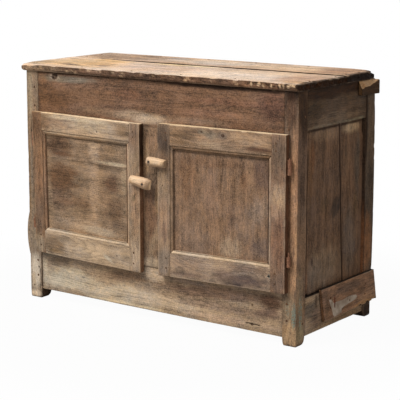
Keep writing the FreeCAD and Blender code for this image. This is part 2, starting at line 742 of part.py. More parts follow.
# Doors: four framed members with a moulded inner edge, round one or two panel boards
def make_door(door_name, door):
    side = door["side"]
    width = door["hinge_edge"] - door["free_edge"]

    def at(out, z):
        """A point on a sagging door. out is its distance from the middle of the cupboard."""
        loose_share = (door["hinge_edge"] - out) / width
        high_share = (z - door["low"]) / (door["high"] - door["low"])
        sag = door["low_sag"] + (door["high_sag"] - door["low_sag"]) * high_share
        return side * out, z - sag * loose_share

    def member(y, corners):
        return prism("xz", y, [at(*corner) for corner in corners])

    hinge, free = door["hinge_edge"], door["free_edge"]
    low, high = door["low"], door["high"]
    hinge_flat, free_flat = hinge - door["hinge_stile"], free + door["lock_stile"]
    low_flat, high_flat = low + door["bottom_rail"], high - door["top_rail"]
    hinge_open, free_open = hinge_flat - sticking_width, free_flat + sticking_width
    low_open, high_open = low_flat + sticking_width, high_flat - sticking_width
    slab = (door_face, door_back)
    names = {key: door_name + "_" + key for key in
             ("hinge_stile", "lock_stile", "top_rail", "bottom_rail", "panel")}
    pieces[names["hinge_stile"]] = member(slab, [
        (hinge, low), (hinge, high), (hinge_flat, high), (hinge_flat, high_flat),
        (hinge_open, high_open), (hinge_open, low_open), (hinge_flat, low_flat), (hinge_flat, low),
    ])
    pieces[names["lock_stile"]] = member(slab, [
        (free, low), (free, high), (free_flat, high), (free_flat, high_flat),
        (free_open, high_open), (free_open, low_open), (free_flat, low_flat), (free_flat, low),
    ])
    pieces[names["top_rail"]] = member(slab, [
        (hinge_flat, high), (free_flat, high), (free_flat, high_flat),
        (free_open, high_open), (hinge_open, high_open), (hinge_flat, high_flat),
    ])
    pieces[names["bottom_rail"]] = member(slab, [
        (hinge_flat, low), (free_flat, low), (free_flat, low_flat),
        (free_open, low_open), (hinge_open, low_open), (hinge_flat, low_flat),
    ])

    # The moulded inner edge: a small step down, then a quarter round to the panel
    def moulding(flat, opening):
        """The section above the moulding, from the flat face to the opening."""
        beyond = opening + (opening - flat) / sticking_width * overrun
        run = opening - flat
        middle = (
            opening - run * quarter_share,
            door_face + sticking_step + (sticking_depth - sticking_step) * quarter_share,
        )
        return [
            (flat, door_face - overrun),
            (flat, door_face + sticking_step),
            (middle, (opening, door_face + sticking_depth)),
            (beyond, door_face + sticking_depth),
            (beyond, door_face - overrun),
        ]

    def upright(outline, z):
        turned = [(tuple((side * p[0], p[1]) for p in step) if isinstance(step[0], tuple)
                   else (side * step[0], step[1])) for step in outline]
        return prism("xy", z, turned)

    def level(outline, rise_of):
        """A section swept along a rail, which slopes with the door's sag."""
        start, end = at(hinge + overrun, rise_of), at(free - overrun, rise_of)
        shape = prism("yz", (start[0], end[0]), [
            tuple((q[1], q[0] - rise_of + start[1]) for q in step)
            if isinstance(step[0], tuple) else (step[1], step[0] - rise_of + start[1])
            for step in outline
        ])
        slope = math.degrees(math.atan2(end[1] - start[1], end[0] - start[0]))
        shape.rotate(Vec(start[0], 0, start[1]), Vec(0, -1, 0), slope)
        return shape

    tall = (low - overrun, high + overrun)
    carve(names["hinge_stile"], upright(moulding(hinge_flat, hinge_open), tall))
    carve(names["lock_stile"], upright(moulding(free_flat, free_open), tall))
    carve(names["top_rail"], level(moulding(high_flat, high_open), high_flat))
    carve(names["bottom_rail"], level(moulding(low_flat, low_open), low_flat))

    # Grooves for the panel, then tenons in line with them
    panel_y = (door_face + door_panel_face_depth,
               door_face + door_panel_face_depth + door_groove_width)
    groove_y = (panel_y[0] - door_panel_fit, panel_y[1] + door_panel_fit)
    bottom = door_groove_depth
    ring = member(groove_y, [
        (hinge_open + bottom, low_open - bottom), (free_open - bottom, low_open - bottom),
        (free_open - bottom, high_open + bottom), (hinge_open + bottom, high_open + bottom),
    ])
    for key in ("hinge_stile", "lock_stile", "top_rail", "bottom_rail"):
        carve(names[key], ring)
    for rail, tenon_low, tenon_high in (
        ("top_rail", high_flat, high - door_tenon_shoulder),
        ("bottom_rail", low + door_tenon_shoulder, low_flat),
    ):
        for stile, shoulder, outward in (
            ("hinge_stile", hinge_flat, 1),
            ("lock_stile", free_flat, -1),
        ):
            tip = shoulder + outward * door_tenon_length
            root = shoulder - outward * overrun
            corners = [(root, tenon_low), (tip, tenon_low), (tip, tenon_high), (root, tenon_high)]
            join(names[rail], member(panel_y, corners))
            far = tip + outward * mortise_spare_depth
            socket_low = tenon_low - mortise_fit
            socket_high = tenon_high + mortise_fit
            socket = [(shoulder, socket_low), (far, socket_low),
                      (far, socket_high), (shoulder, socket_high)]
            carve(names[stile], member(groove_y, socket))
            for height in (tenon_low, tenon_high):
                inset = math.copysign(door_peg_inset, tenon_low + tenon_high - 2 * height)
                x, z = at(shoulder + outward * door_peg_inset, height + inset)
                peg(door_name + "_pegs", door_peg_radius, Vec(x, door_face, z), Vec(0, 1, 0),
                    door_thickness, (names[rail], names[stile]))

    # Panel boards, held in the grooves
    tongue = door_tongue_depth
    outs = (hinge_open + tongue, free_open - tongue)
    heights = [low_open - tongue, high_open + tongue]
    if side < 0:
        seam = high - door_panel_seam_drop
        spans = {
            names["panel"] + "_lower_board": (heights[0], seam - door_panel_seam_gap / 2),
            names["panel"] + "_upper_board": (seam + door_panel_seam_gap / 2, heights[1]),
        }
    else:
        spans = {names["panel"]: tuple(heights)}
    for name, (z0, z1) in spans.items():
        pieces[name] = member(panel_y, [(outs[0], z0), (outs[1], z0), (outs[1], z1), (outs[0], z1)])


make_door("left_door", left_door)
make_door("right_door", right_door)


# Hinges: leaves let into the door's edge and the post's face, and a pin in their barrels
def make_hinge(door_name, door, hinge):
    side = door["side"]
    side_name = "left" if side < 0 else "right"
    axis_x = side * (door["hinge_edge"] + hinge_offset)
    base = hinge["low"]
    seat = base + hinge["barrel"] + barrel_end_gap
    up = Vec(0, 0, 1)

    def barrel(low):
        return Part.makeCylinder(barrel_radius, hinge["barrel"], Vec(axis_x, hinge_axis_y, low), up)

    pin_length = 2 * hinge["barrel"] + barrel_end_gap + hinge["tip"]
    tip_length = min(hinge["tip"], hinge_pin_radius)
    pin_at = Vec(axis_x, hinge_axis_y, base)
    shank = Part.makeCylinder(hinge_pin_radius, pin_length - tip_length, pin_at, up)
    nose_at = pin_at + up * (pin_length - tip_length)
    nose = Part.makeCone(hinge_pin_radius, hinge_pin_radius / 2, tip_length, nose_at, up)
    groups.setdefault("hinge_pins", []).append(one_solid(shank.fuse(nose)))
    bore = Part.makeCylinder(hinge_pin_radius + hinge_pin_fit, pin_length, pin_at, up)

    # The door's leaf lies in a slot in the edge of the door
    half = leaf_thickness / 2
    leaf_y = (hinge_axis_y - half, hinge_axis_y + half)
    edge_x = side * door["hinge_edge"]
    plate_x = (edge_x, edge_x - side * leaf_width)
    plate_z = (seat + hinge["barrel"] - leaf_height, seat + hinge["barrel"])
    plate = block(plate_x, leaf_y, plate_z)
    neck = block((axis_x, edge_x - side * overrun), leaf_y, (seat, seat + hinge["barrel"]))
    door_half = barrel(seat).multiFuse([plate, neck]).cut(bore)
    stile = door_name + "_hinge_stile"
    slot_x = (edge_x + side * overrun, edge_x - side * (leaf_width + leaf_fit))
    slot_y = (leaf_y[0] - leaf_fit, leaf_y[1] + leaf_fit)
    carve(stile, block(slot_x, slot_y, (plate_z[0] - leaf_fit, plate_z[1] + leaf_fit)))

    # The post's leaf lies in a slot cut straight back into the post
    post = "front_" + side_name + "_post"
    post_leaf_x = (axis_x - half, axis_x + half)
    post_plate_z = (base, base + leaf_height)
    post_plate = block(post_leaf_x, (0, post_leaf_depth), post_plate_z)
    post_neck = block(post_leaf_x, (hinge_axis_y, overrun), (base, base + hinge["barrel"]))
    post_half = barrel(base).multiFuse([post_plate, post_neck]).cut(bore)
    cut_x = (post_leaf_x[0] - leaf_fit, post_leaf_x[1] + leaf_fit)
    cut_z = (post_plate_z[0] - leaf_fit, post_plate_z[1] + leaf_fit)
    carve(post, block(cut_x, (-overrun, post_leaf_depth + leaf_fit), cut_z))

    # Two nails through each leaf
    door_leaf, post_leaf = "door_leaf", "post_leaf"
    pieces[door_leaf] = one_solid(door_half)
    pieces[post_leaf] = one_solid(post_half)
    for step in (-1, 1):
        rise = step * hinge_nail_spacing / 2
        nail_x = edge_x - side * hinge_nail_inset
        middle = sum(plate_z) / 2
        peg(door_name + "_hinge_nails", hinge_nail_radius, Vec(nail_x, door_face, middle + rise),
            Vec(0, 1, 0), door_thickness, (stile, door_leaf))
        post_middle = sum(post_plate_z) / 2
        start = Vec(side * inner_x, post_leaf_nail_depth, post_middle + rise)
        peg("case_nails", hinge_nail_radius, start, Vec(side, 0, 0), case_nail_length,
            (post, post_leaf))
    groups.setdefault(door_name + "_hinge_leaves", []).append(pieces.pop(door_leaf))
    groups.setdefault(side_name + "_post_hinge_leaves", []).append(pieces.pop(post_leaf))


for door_name, door in (("left_door", left_door), ("right_door", right_door)):
    for hinge in (upper_hinge, lower_hinge):
        make_hinge(door_name, door, hinge)


# Turn buttons, each on a nail in the centre stile
def make_button(name, button):
    x, z = button["pivot"]
    towards = button["towards"]
    front = -button_front_depth
    underside = door_face - button_door_gap
    boss_radius = button["boss"]
    tip = x + towards * button["arm"]
    tail = x - towards * button["tail"]
    tip_half = button_tip_half_height
    tail_half = boss_radius
    outline = rounded([
        (tail, z - tail_half, tail_half * button_round_share),
        (x, z - tail_half, 0),
        (tip, z - tip_half, tip_half * button_round_share),
        (tip, z + tip_half, tip_half * button_round_share),
        (x, z + tail_half, 0),
        (tail, z + tail_half, tail_half * button_round_share),
    ])
    arm = prism("xz", (front, underside), outline)
    boss_length = -button_boss_gap - underside + overrun
    boss_start = Vec(x, underside - overrun, z)
    boss = Part.makeCylinder(boss_radius, boss_length, boss_start, Vec(0, 1, 0))
    body = one_solid(arm.fuse(boss))
    head_seat = front + button_nail_sink + button_nail_head_thickness
    sink_radius = button_nail_head_radius + button_nail_sink_gap
    bore_radius = button_nail_radius + button_nail_fit
    bore = Part.makeCylinder(bore_radius, button_front_depth, Vec(x, front, z), Vec(0, 1, 0))
    sink = Part.makeCylinder(
        sink_radius, head_seat - front + overrun, Vec(x, front - overrun, z), Vec(0, 1, 0)
    )
    body = one_solid(body.cut([bore, sink]))
    body.rotate(Vec(x, 0, z), Vec(0, 1, 0), button["tilt"])
    pieces[name] = body
    head_start = Vec(x, front + button_nail_sink - button_boss_gap, z)
    head = Part.makeCylinder(
        button_nail_head_radius, button_nail_head_thickness, head_start, Vec(0, 1, 0)
    )
    shank_length = button_nail_stile_depth - head_start.y
    shank = Part.makeCylinder(button_nail_radius, shank_length, head_start, Vec(0, 1, 0))
    hole = Part.makeCylinder(
        button_nail_radius + drill_fit, button_nail_stile_depth + overrun,
        Vec(x, -overrun, z), Vec(0, 1, 0),
    )
    carve("centre_stile", hole)
    groups.setdefault("button_nails", []).append(one_solid(head.fuse(shank)))


make_button("upper_turn_button", upper_button)
make_button("lower_turn_button", lower_button)

# Pegs through the tenons of the carcass
front_peg_x = inner_x + front_tenon_length / 2
top_peg_span = top_rail_tenon_z[1] - top_rail_tenon_z[0]
bottom_peg_span = bottom_rail_tenon_z[1] - bottom_rail_tenon_z[0]
front_peg_heights = {
    "front_top_rail": [
        top_rail_tenon_z[0] + top_peg_span * share for share in top_rail_peg_shares
    ],
    "front_bottom_rail": [
        bottom_rail_tenon_z[0] + bottom_peg_span * share for share in bottom_rail_peg_shares
    ],
}
for side_name, side in (("left", -1), ("right", 1)):
    for rail, heights in front_peg_heights.items():
        for z in heights:
            start = Vec(side * front_peg_x, 0, z)
            names = ("front_" + side_name + "_post", rail)
            peg("frame_pegs", peg_radius, start, Vec(0, 1, 0), peg_length, names)
    for rail, low, high in (
        ("_side_top_rail", side_top_rail_low, carcass_height),
        ("_side_bottom_rail", side_bottom_rail_clearance, side_bottom_rail_top),
    ):
        z = low + (high - low) * side_rail_peg_share
        for post, y in (
            ("front_", post_depth - side_tenon_length / 2),
            ("rear_", rear_post_y + side_tenon_length / 2),
        ):
            start = Vec(side * half_width, y, z)
            names = (post + side_name + "_post", side_name + rail)
            peg("frame_pegs", peg_radius, start, Vec(-side, 0, 0), peg_length, names)

# Nails in the top, the back boards, the bearers and the added boards
down = Vec(0, 0, -1)
top_front_z = carcass_height + top_front_board_thickness
top_rear_z = carcass_height + top_rear_board_thickness
side_nail_x = (side_rail_outer + side_rail_inner) / 2
for share in top_nail_x_shares:
    x = share * inner_x
    front_start = Vec(x, front_rail_thickness / 2, top_front_z)
    rear_start = Vec(x, back_rail_y + back_rail_thickness / 2, top_rear_z)
    nail("top_nails", front_start, down, top_nail_length, ("top_front_board", "front_top_rail"))
    nail("top_nails", rear_start, down, top_nail_length, ("top_rear_board", "back_top_rail"))
for side_name, side in (("left", -1), ("right", 1)):
    rail = side_name + "_side_top_rail"
    for y, z, board in (
        (post_depth + nail_inset, top_front_z, "top_front_board"),
        (front_board_rear - nail_inset, top_front_z, "top_front_board"),
        (rear_board_front + nail_inset, top_rear_z, "top_rear_board"),
        (rear_post_y - nail_inset, top_rear_z, "top_rear_board"),
    ):
        start = Vec(side * side_nail_x, y, z)
        nail("top_nails", start, down, top_nail_length, (board, rail))
    inner_face = side * (side_rail_inner - bearer_width)
    floor_bearer_z = floor_top - inner_board_thickness - bearer_height / 2
    for y in (post_depth + nail_inset, rear_post_y - nail_inset):
        start = Vec(inner_face, y, floor_bearer_z)
        names = (side_name + "_floor_bearer", side_name + "_side_bottom_rail")
        nail("case_nails", start, Vec(side, 0, 0), case_nail_length, names)
    shelf_bearer_z = shelf_top - inner_board_thickness - bearer_height / 2
    for y, reach, post in (
        (post_depth + bearer_width, -1, "front_"),
        (rear_post_y - bearer_width, 1, "rear_"),
    ):
        start = Vec(inner_face, y, shelf_bearer_z)
        slant = Vec(side * bearer_nail_lean_share, reach, 0)
        slant.normalize()
        names = (side_name + "_shelf_bearer", post + side_name + "_post")
        nail("case_nails", start, slant, bearer_nail_length, names)
for name, left in zip(back_board_names, back_board_lefts):
    board_width = back_board_pitch - board_shrinkage
    for z in (sum(back_top_z) / 2, sum(back_bottom_z) / 2):
        for x in (left + nail_inset, left + board_width - nail_inset):
            start = Vec(x, carcass_depth, z)
            names = (name, "back_top_rail", "back_bottom_rail")
            nail("case_nails", start, Vec(0, -1, 0), back_nail_length, names)
repair_nail_x = half_width + repair_board_thickness
repair_length = repair_board_rear_high - repair_board_front_low
for share in repair_nail_shares:
    for z in (side_bottom_rail_top - tenon_edge_shoulder * 2, repair_board_low + nail_inset):
        start = Vec(repair_nail_x, repair_board_front_low + share * repair_length, z)
        names = ("right_repair_board", "right_side_bottom_rail")
        nail("case_nails", start, Vec(-1, 0, 0), case_nail_length, names)

# The origin is on the floor, under the middle of the whole cupboard
everything = Part.makeCompound(list(pieces.values()) + [s for g in groups.values() for s in g])
box = everything.optimalBoundingBox(False, False)
shift = Vec(-(box.XMin + box.XMax) / 2, -(box.YMin + box.YMax) / 2, -box.ZMin)
os.makedirs("parts", exist_ok=True)
for name, solids in groups.items():
    pieces[name] = Part.makeCompound(solids) if len(solids) > 1 else solids[0]
for name, shape in pieces.items():
    shape.translate(shift)
    shape.exportStep("parts/" + name + ".step")
    valid = shape.isValid() and all(solid.isValid() for solid in shape.Solids)
    if not valid or not shape.Solids:
        raise RuntimeError(name + " is not a sound solid")
print(len(pieces), "nodes, shift", shift, "size", box.XLength, box.YLength, box.ZLength)
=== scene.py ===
import itertools
import json
import math

import bmesh
import bpy
import numpy as np
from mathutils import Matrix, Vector

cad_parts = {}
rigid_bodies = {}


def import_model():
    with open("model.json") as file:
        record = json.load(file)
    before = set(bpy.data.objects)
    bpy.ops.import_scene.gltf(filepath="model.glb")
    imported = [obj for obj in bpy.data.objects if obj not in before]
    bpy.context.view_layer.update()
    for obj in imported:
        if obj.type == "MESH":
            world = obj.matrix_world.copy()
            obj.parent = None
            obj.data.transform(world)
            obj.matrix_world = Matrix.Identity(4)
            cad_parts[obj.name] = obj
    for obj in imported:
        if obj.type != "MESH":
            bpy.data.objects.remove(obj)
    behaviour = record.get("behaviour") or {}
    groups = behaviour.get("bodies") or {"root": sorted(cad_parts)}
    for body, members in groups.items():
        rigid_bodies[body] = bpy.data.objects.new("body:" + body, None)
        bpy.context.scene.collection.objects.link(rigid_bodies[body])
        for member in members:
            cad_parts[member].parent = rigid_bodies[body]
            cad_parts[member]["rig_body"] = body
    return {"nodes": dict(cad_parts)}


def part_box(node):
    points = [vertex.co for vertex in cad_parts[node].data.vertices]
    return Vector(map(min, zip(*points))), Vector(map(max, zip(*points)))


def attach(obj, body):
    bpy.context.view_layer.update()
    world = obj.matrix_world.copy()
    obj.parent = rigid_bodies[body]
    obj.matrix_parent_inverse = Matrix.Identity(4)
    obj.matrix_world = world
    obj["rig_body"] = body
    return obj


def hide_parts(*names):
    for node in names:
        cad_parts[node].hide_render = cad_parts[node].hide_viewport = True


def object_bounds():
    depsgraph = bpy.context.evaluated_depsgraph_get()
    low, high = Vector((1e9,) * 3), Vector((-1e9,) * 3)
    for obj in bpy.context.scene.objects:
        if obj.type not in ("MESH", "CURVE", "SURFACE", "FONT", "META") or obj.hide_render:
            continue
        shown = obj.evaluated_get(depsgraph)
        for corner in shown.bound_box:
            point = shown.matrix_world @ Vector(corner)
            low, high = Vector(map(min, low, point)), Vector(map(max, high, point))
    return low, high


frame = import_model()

bl_info = {
    "name": "Two-door cupboard",
    "version": (1, 0, 0),
    "blender": (4, 5, 0),
    "location": "View3D > Sidebar > Cupboard",
    "description": "Dresses the cupboard in worn softwood, board by board",
    "category": "Add Mesh",
}

# Places are in millimetres from the datum: on the floor, under the middle of the posts' fronts.
# On a board, s runs along its grain, a across its face and b down into it.
MM = 0.001
CAD_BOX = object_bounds()
DATUM = Vector((
    (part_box("front_left_post")[0].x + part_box("front_right_post")[1].x) / 2,
    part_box("front_left_post")[0].y,
    0.0,
))


def span(node):
    """A node's lowest and highest corner, in millimetres from the datum."""
    low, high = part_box(node)
    return np.array(low - DATUM) / MM, np.array(high - DATUM) / MM


def linear(code):
    """The linear colour of a hex code, as numbers from 0 to 1."""
    shares = [int(code[n:n + 2], 16) / 255 for n in (0, 2, 4)]
    return tuple(c / 12.92 if c < 0.04045 else ((c + 0.055) / 1.055) ** 2.4 for c in shares)


# Settings that a user would change


class CupboardSizes(bpy.types.PropertyGroup):
    """How finely the boards are made, and how worn they are"""

    column: bpy.props.FloatProperty(
        name="Column", description="Width of a face across a board, in millimetres",
        default=6.0, min=2.0)
    run: bpy.props.FloatProperty(
        name="Run", description="Length of a face along a board, in millimetres",
        default=7.0, min=2.0)
    arris: bpy.props.FloatProperty(
        name="Arris", description="Usual radius of a worn arris, in millimetres", default=1.8)
    wave: bpy.props.FloatProperty(
        name="Wave", description="How uneven a face is, in millimetres", default=0.45)


def colour(name, code):
    """A colour that the user can change."""
    return bpy.props.FloatVectorProperty(
        name=name, description="Usual colour of the " + name.lower(), subtype="COLOR",
        default=linear(code), min=0.0, max=1.0)


class CupboardColours(bpy.types.PropertyGroup):
    """The woods' usual colours"""

    frame_wood: colour("Frame wood", "8a6f58")
    door_wood: colour("Door wood", "8e745c")
    top_wood: colour("Top wood", "c09a75")
    side_wood: colour("Side wood", "6a5443")
    inner_wood: colour("Inner wood", "9a7f63")
    repair_wood: colour("Repair wood", "77604c")
    block_wood: colour("Block wood", "8a6a48")
    button_wood: colour("Button wood", "c7a98a")
    peg_wood: colour("Peg wood", "5b4332")
    iron: colour("Iron", "6b4c3c")
    pale: colour("Worn edge", "c2a88a")
    # This is also the colour that painted shade darkens to.
    dark: colour("Dirt", "241811")
    paint: colour("Old paint", "6f8f86")


class CupboardStage(bpy.types.PropertyGroup):
    """Camera and lamps"""

    camera: bpy.props.FloatVectorProperty(
        name="Camera", description="Place of the camera from the datum",
        default=(2.9378, -3.8675, 1.3705), subtype="TRANSLATION", unit="LENGTH")
    yaw: bpy.props.FloatProperty(
        name="Yaw", description="Turn of the camera from straight on",
        default=math.radians(35.36), subtype="ANGLE")
    pitch: bpy.props.FloatProperty(
        name="Pitch", description="Tilt of the camera above level",
        default=math.radians(-10.97), subtype="ANGLE")
    lens: bpy.props.FloatProperty(
        name="Lens", description="Focal length in millimetres on a 36 mm sensor", default=128.9)
    key: bpy.props.FloatProperty(
        name="Key lamp", description="Power of the key lamp", default=270.0, unit="POWER")
    fill: bpy.props.FloatProperty(
        name="Fill lamp", description="Power of the fill lamp", default=32.0, unit="POWER")
    sky: bpy.props.FloatProperty(
        name="Sky", description="Strength of the even light", default=0.35)


# Smooth noise, for shapes and for what is stored on the boards
HASH_X, HASH_Y, HASH_Z, HASH_SEED, HASH_MIX = 73856093, 19349663, 83492791, 265443576, 1274126177


def noise(points, seed=0):
    """Smooth noise from -1 to 1 at these (n, 3) points, with one cell to a unit."""
    points = np.asarray(points, float)
    cell = np.floor(points).astype(np.int64)
    part = points - cell
    part = part * part * (3 - 2 * part)
    total = np.zeros(len(points))
    for corner in itertools.product((0, 1), repeat=3):
        at = cell + corner
        mixed = at[:, 0] * HASH_X ^ at[:, 1] * HASH_Y ^ at[:, 2] * HASH_Z ^ seed * HASH_SEED
        mixed = ((mixed ^ mixed >> 13) * HASH_MIX) & 0x7FFFFFFF
        value = (mixed >> 8 & 0xFFFF) / 32767.5 - 1
        total += value * np.prod(np.where(corner, part, 1 - part), axis=1)
    return total


def waver(s, length, seed, line=0.0):
    """Noise along one axis, with this length of wave, as many values as s has."""
    s = np.asarray(s, float)
    flat = s.reshape(-1)
    points = np.stack([flat / length, np.full(flat.shape, line), np.zeros(flat.shape)], 1)
    return noise(points, seed).reshape(s.shape)


def smooth(low, high, x):
    """0 at low, 1 at high, and a smooth step between them, whichever of them is more."""
    t = np.clip((x - low) / (high - low), 0, 1)
    return t * t * (3 - 2 * t)


# Boards. Edges that turn more than SHARP, in degrees, aren't shaded smooth. A fine board has rings
# at FINE_RINGS from its start and none of its usual ones below FINE_END, and END_CELL is the
# height of a face on an end, all in millimetres.
SHARP, FINE_END, END_CELL = 38.0, 39.0, 5.0
NO_KNOT = 9.0  # Further from a knot, in its sizes, than anything of it shows
FINE_RINGS = (1.4, 3.2, 5.4, 8.4, 12.0, 16.0, 20.5, 25.0, 30.0, 35.0)


def ends(value):
    """A place at the start and the end of an edge: one number serves both."""
    return value if isinstance(value, tuple) else (value, value)


def section(width, thick, reach, column):
    """The loop round a board's section, and how many of its points lie on the face.

    Each point is its place a and b, its corner, its way in from the corner for each unit of
    arris, and its outward direction."""
    angles = (45.0, 22.5, 0.0)
    columns = np.linspace(reach, width - reach, max(3, round((width - 2 * reach) / column) + 1))
    rows = np.linspace(reach, thick - reach, max(2, round((thick - 2 * reach) / column) + 1))

    def arc(corner, degrees):
        in_a = 1 if corner in (0, 3) else -1
        in_b = 1 if corner in (0, 1) else -1
        sine, cosine = math.sin(math.radians(degrees)), math.cos(math.radians(degrees))
        return (0 if in_a > 0 else width, 0 if in_b > 0 else thick, corner,
                in_a * (1 - sine), in_b * (1 - cosine), -in_a * sine, -in_b * cosine)

    loop = [arc(0, angle) for angle in angles]
    loop += [(a, 0, 0, 0, 0, 0, -1) for a in columns]
    loop += [arc(1, angle) for angle in angles[::-1]]
    face = len(loop)
    loop += [arc(1, 67.5), arc(1, 90)] + [(width, b, 1, 0, 0, 1, 0) for b in rows]
    loop += [arc(2, 90), arc(2, 67.5)]
    side = len(loop) - face
    loop += [arc(2, angle) for angle in angles]
    loop += [(a, thick, 2, 0, 0, 0, 1) for a in columns[::-1]]
    loop += [arc(3, angle) for angle in angles[::-1]]
    loop += [arc(3, 67.5), arc(3, 90)] + [(0, b, 3, 0, 0, -1, 0) for b in rows[::-1]]
    loop += [arc(0, 90), arc(0, 67.5)]
    return np.array(loop, float), face, side


def stations(length, run, fine):
    """Where rings of points stand along a board, from 0 to 1, and how far each is drawn in."""
    rim = min(1.6, length / 20)
    middle = np.linspace(rim / length, 1 - rim / length, max(3, round(length / run)) + 1)
    if fine:
        close = rim + np.array(FINE_RINGS)
        middle = np.sort(np.concatenate([
            middle[[0]], close / length, middle[middle * length > FINE_END]]))
    t = np.concatenate([[0, 0.35 * rim / length], middle, [1 - 0.35 * rim / length, 1]])
    inset = np.zeros(len(t))
    inset[[0, -1]], inset[[1, -2]] = 0.65 * rim, 0.22 * rim
    return t, inset


def worn_radii(near, arris, chip, seed):
    """The radius of each of the four arrises at each ring, with chips out of them."""
    return np.stack([
        usual * (1.05 + 0.55 * waver(near, 70, seed, n) + 0.25 * waver(near, 16, seed, n + 9))
        + chip * np.clip(waver(near, 21, seed + 5, n) - 0.42, 0, 1) * 2
        for usual, n in zip(arris, (0.3, 7.3, 14.3, 21.3))], 1)


def unevenness(near, place_a, place_b, seed):
    """How far an uneven face stands out at its points, from about -1 to 1."""
    broad = np.stack([
        np.repeat(near[:, None], place_a.shape[1], 1) / 150, place_a / 34, place_b / 34], 2)
    fine = broad * (3.1, 4.3, 4.3)
    return (noise(broad.reshape(-1, 3), seed) * 0.75
            + noise(fine.reshape(-1, 3), seed + 2) * 0.4).reshape(place_a.shape)


def edge_wear(near, place_a, width, radius, arris, arcs, face_count, seed):
    """How worn each point is: on an arris by its radius, on the face by how near an edge is."""
    worn = np.zeros_like(place_a)
    worn[:, arcs] = np.clip((radius[:, arcs] - 0.5) / 1.8, 0, 1.3)
    for edge, distance in ((0, place_a), (1, width - place_a)):
        strength = min(arris[edge] / 2, 1) * (0.4 + 0.45 * waver(near, 33, seed, edge + 4.4))
        nearby = np.exp(-(distance / 5) ** 2) * strength[:, None]
        worn[:, :face_count] = np.maximum(worn[:, :face_count], nearby[:, :face_count])
    return worn


def open_cracks(cracks, near, low, high, width, column, seed, base, place_a, place_b, mask):
    """Opens cracks in a face: one of its columns sinks, and those beside it close up to it.

    A crack is where it starts and stops along the board, its place across at both, its width and
    its depth."""
    for start, stop, a_from, a_to, open_width, depth in cracks:
        along = np.clip((near - start) / (stop - start), 0, 1)
        wanted = a_from + (a_to - a_from) * along + 1.5 * waver(near, 45, seed, 3.7)
        wanted = (wanted - low) / (high - low) * width
        middle = int(np.argmin(abs(base - wanted.mean())))
        middle = min(max(middle, 4), len(base) - 5)
        strength = smooth(0, 0.12, along) * smooth(0, 0.12, 1 - along)
        strength = np.where((near > start) & (near < stop), strength, 0)
        off = (wanted - base[middle]) * smooth(0, 0.02, strength)
        place_a += off[:, None] * np.exp(-((base - base[middle]) / (2.5 * column)) ** 2)
        for beside in (middle - 1, middle + 1):
            gap = abs(base[beside] - base[middle])
            narrow = open_width / 2 + (gap - open_width / 2) * (1 - smooth(0, 0.3, strength))
            place_a[:, beside] = place_a[:, middle] + (beside - middle) * narrow
            mask[:, beside] = np.maximum(mask[:, beside], 0.3 * strength)
        place_b[:, middle] += depth * strength
        mask[:, middle] = np.maximum(mask[:, middle], strength)


def end_points(rim, pair, rows, push, seeds):
    """The points inside the grid over an end, between its front and back edges, splintered."""
    ladder = (np.arange(1, rows) / rows)[None, :, None]
    grid = rim[:len(pair), None] * (1 - ladder) + rim[pair][:, None] * ladder
    points = grid.reshape(-1, 3)
    jag = noise(points / (40, 5, 3), seeds[0]) + 0.6 * noise(points / (40, 14, 9), seeds[1])
    points[:, 0] += push * (jag - 0.35)
    return points


def end_faces(face_count, side_count, first, total, rows, pair):
    """The faces over an end: a grid from its front edge to its back edge, and its two sides."""
    def corner_of(n, row):
        if row == 0:
            return first + n
        return first + int(pair[n]) if row == rows else total + n * (rows - 1) + row - 1

    faces = [(corner_of(n, row), corner_of(n + 1, row),
              corner_of(n + 1, row + 1), corner_of(n, row + 1))
             for n in range(face_count - 1) for row in range(rows)]
    count = 2 * (face_count + side_count)
    right = list(range(first + face_count - 1, first + face_count + side_count + 1))
    right += [corner_of(face_count - 1, row) for row in range(rows - 1, 0, -1)]
    left = list(range(first + 2 * face_count + side_count - 1, first + count)) + [first]
    left += [corner_of(0, row) for row in range(1, rows)]
    return faces + [tuple(right), tuple(left)]


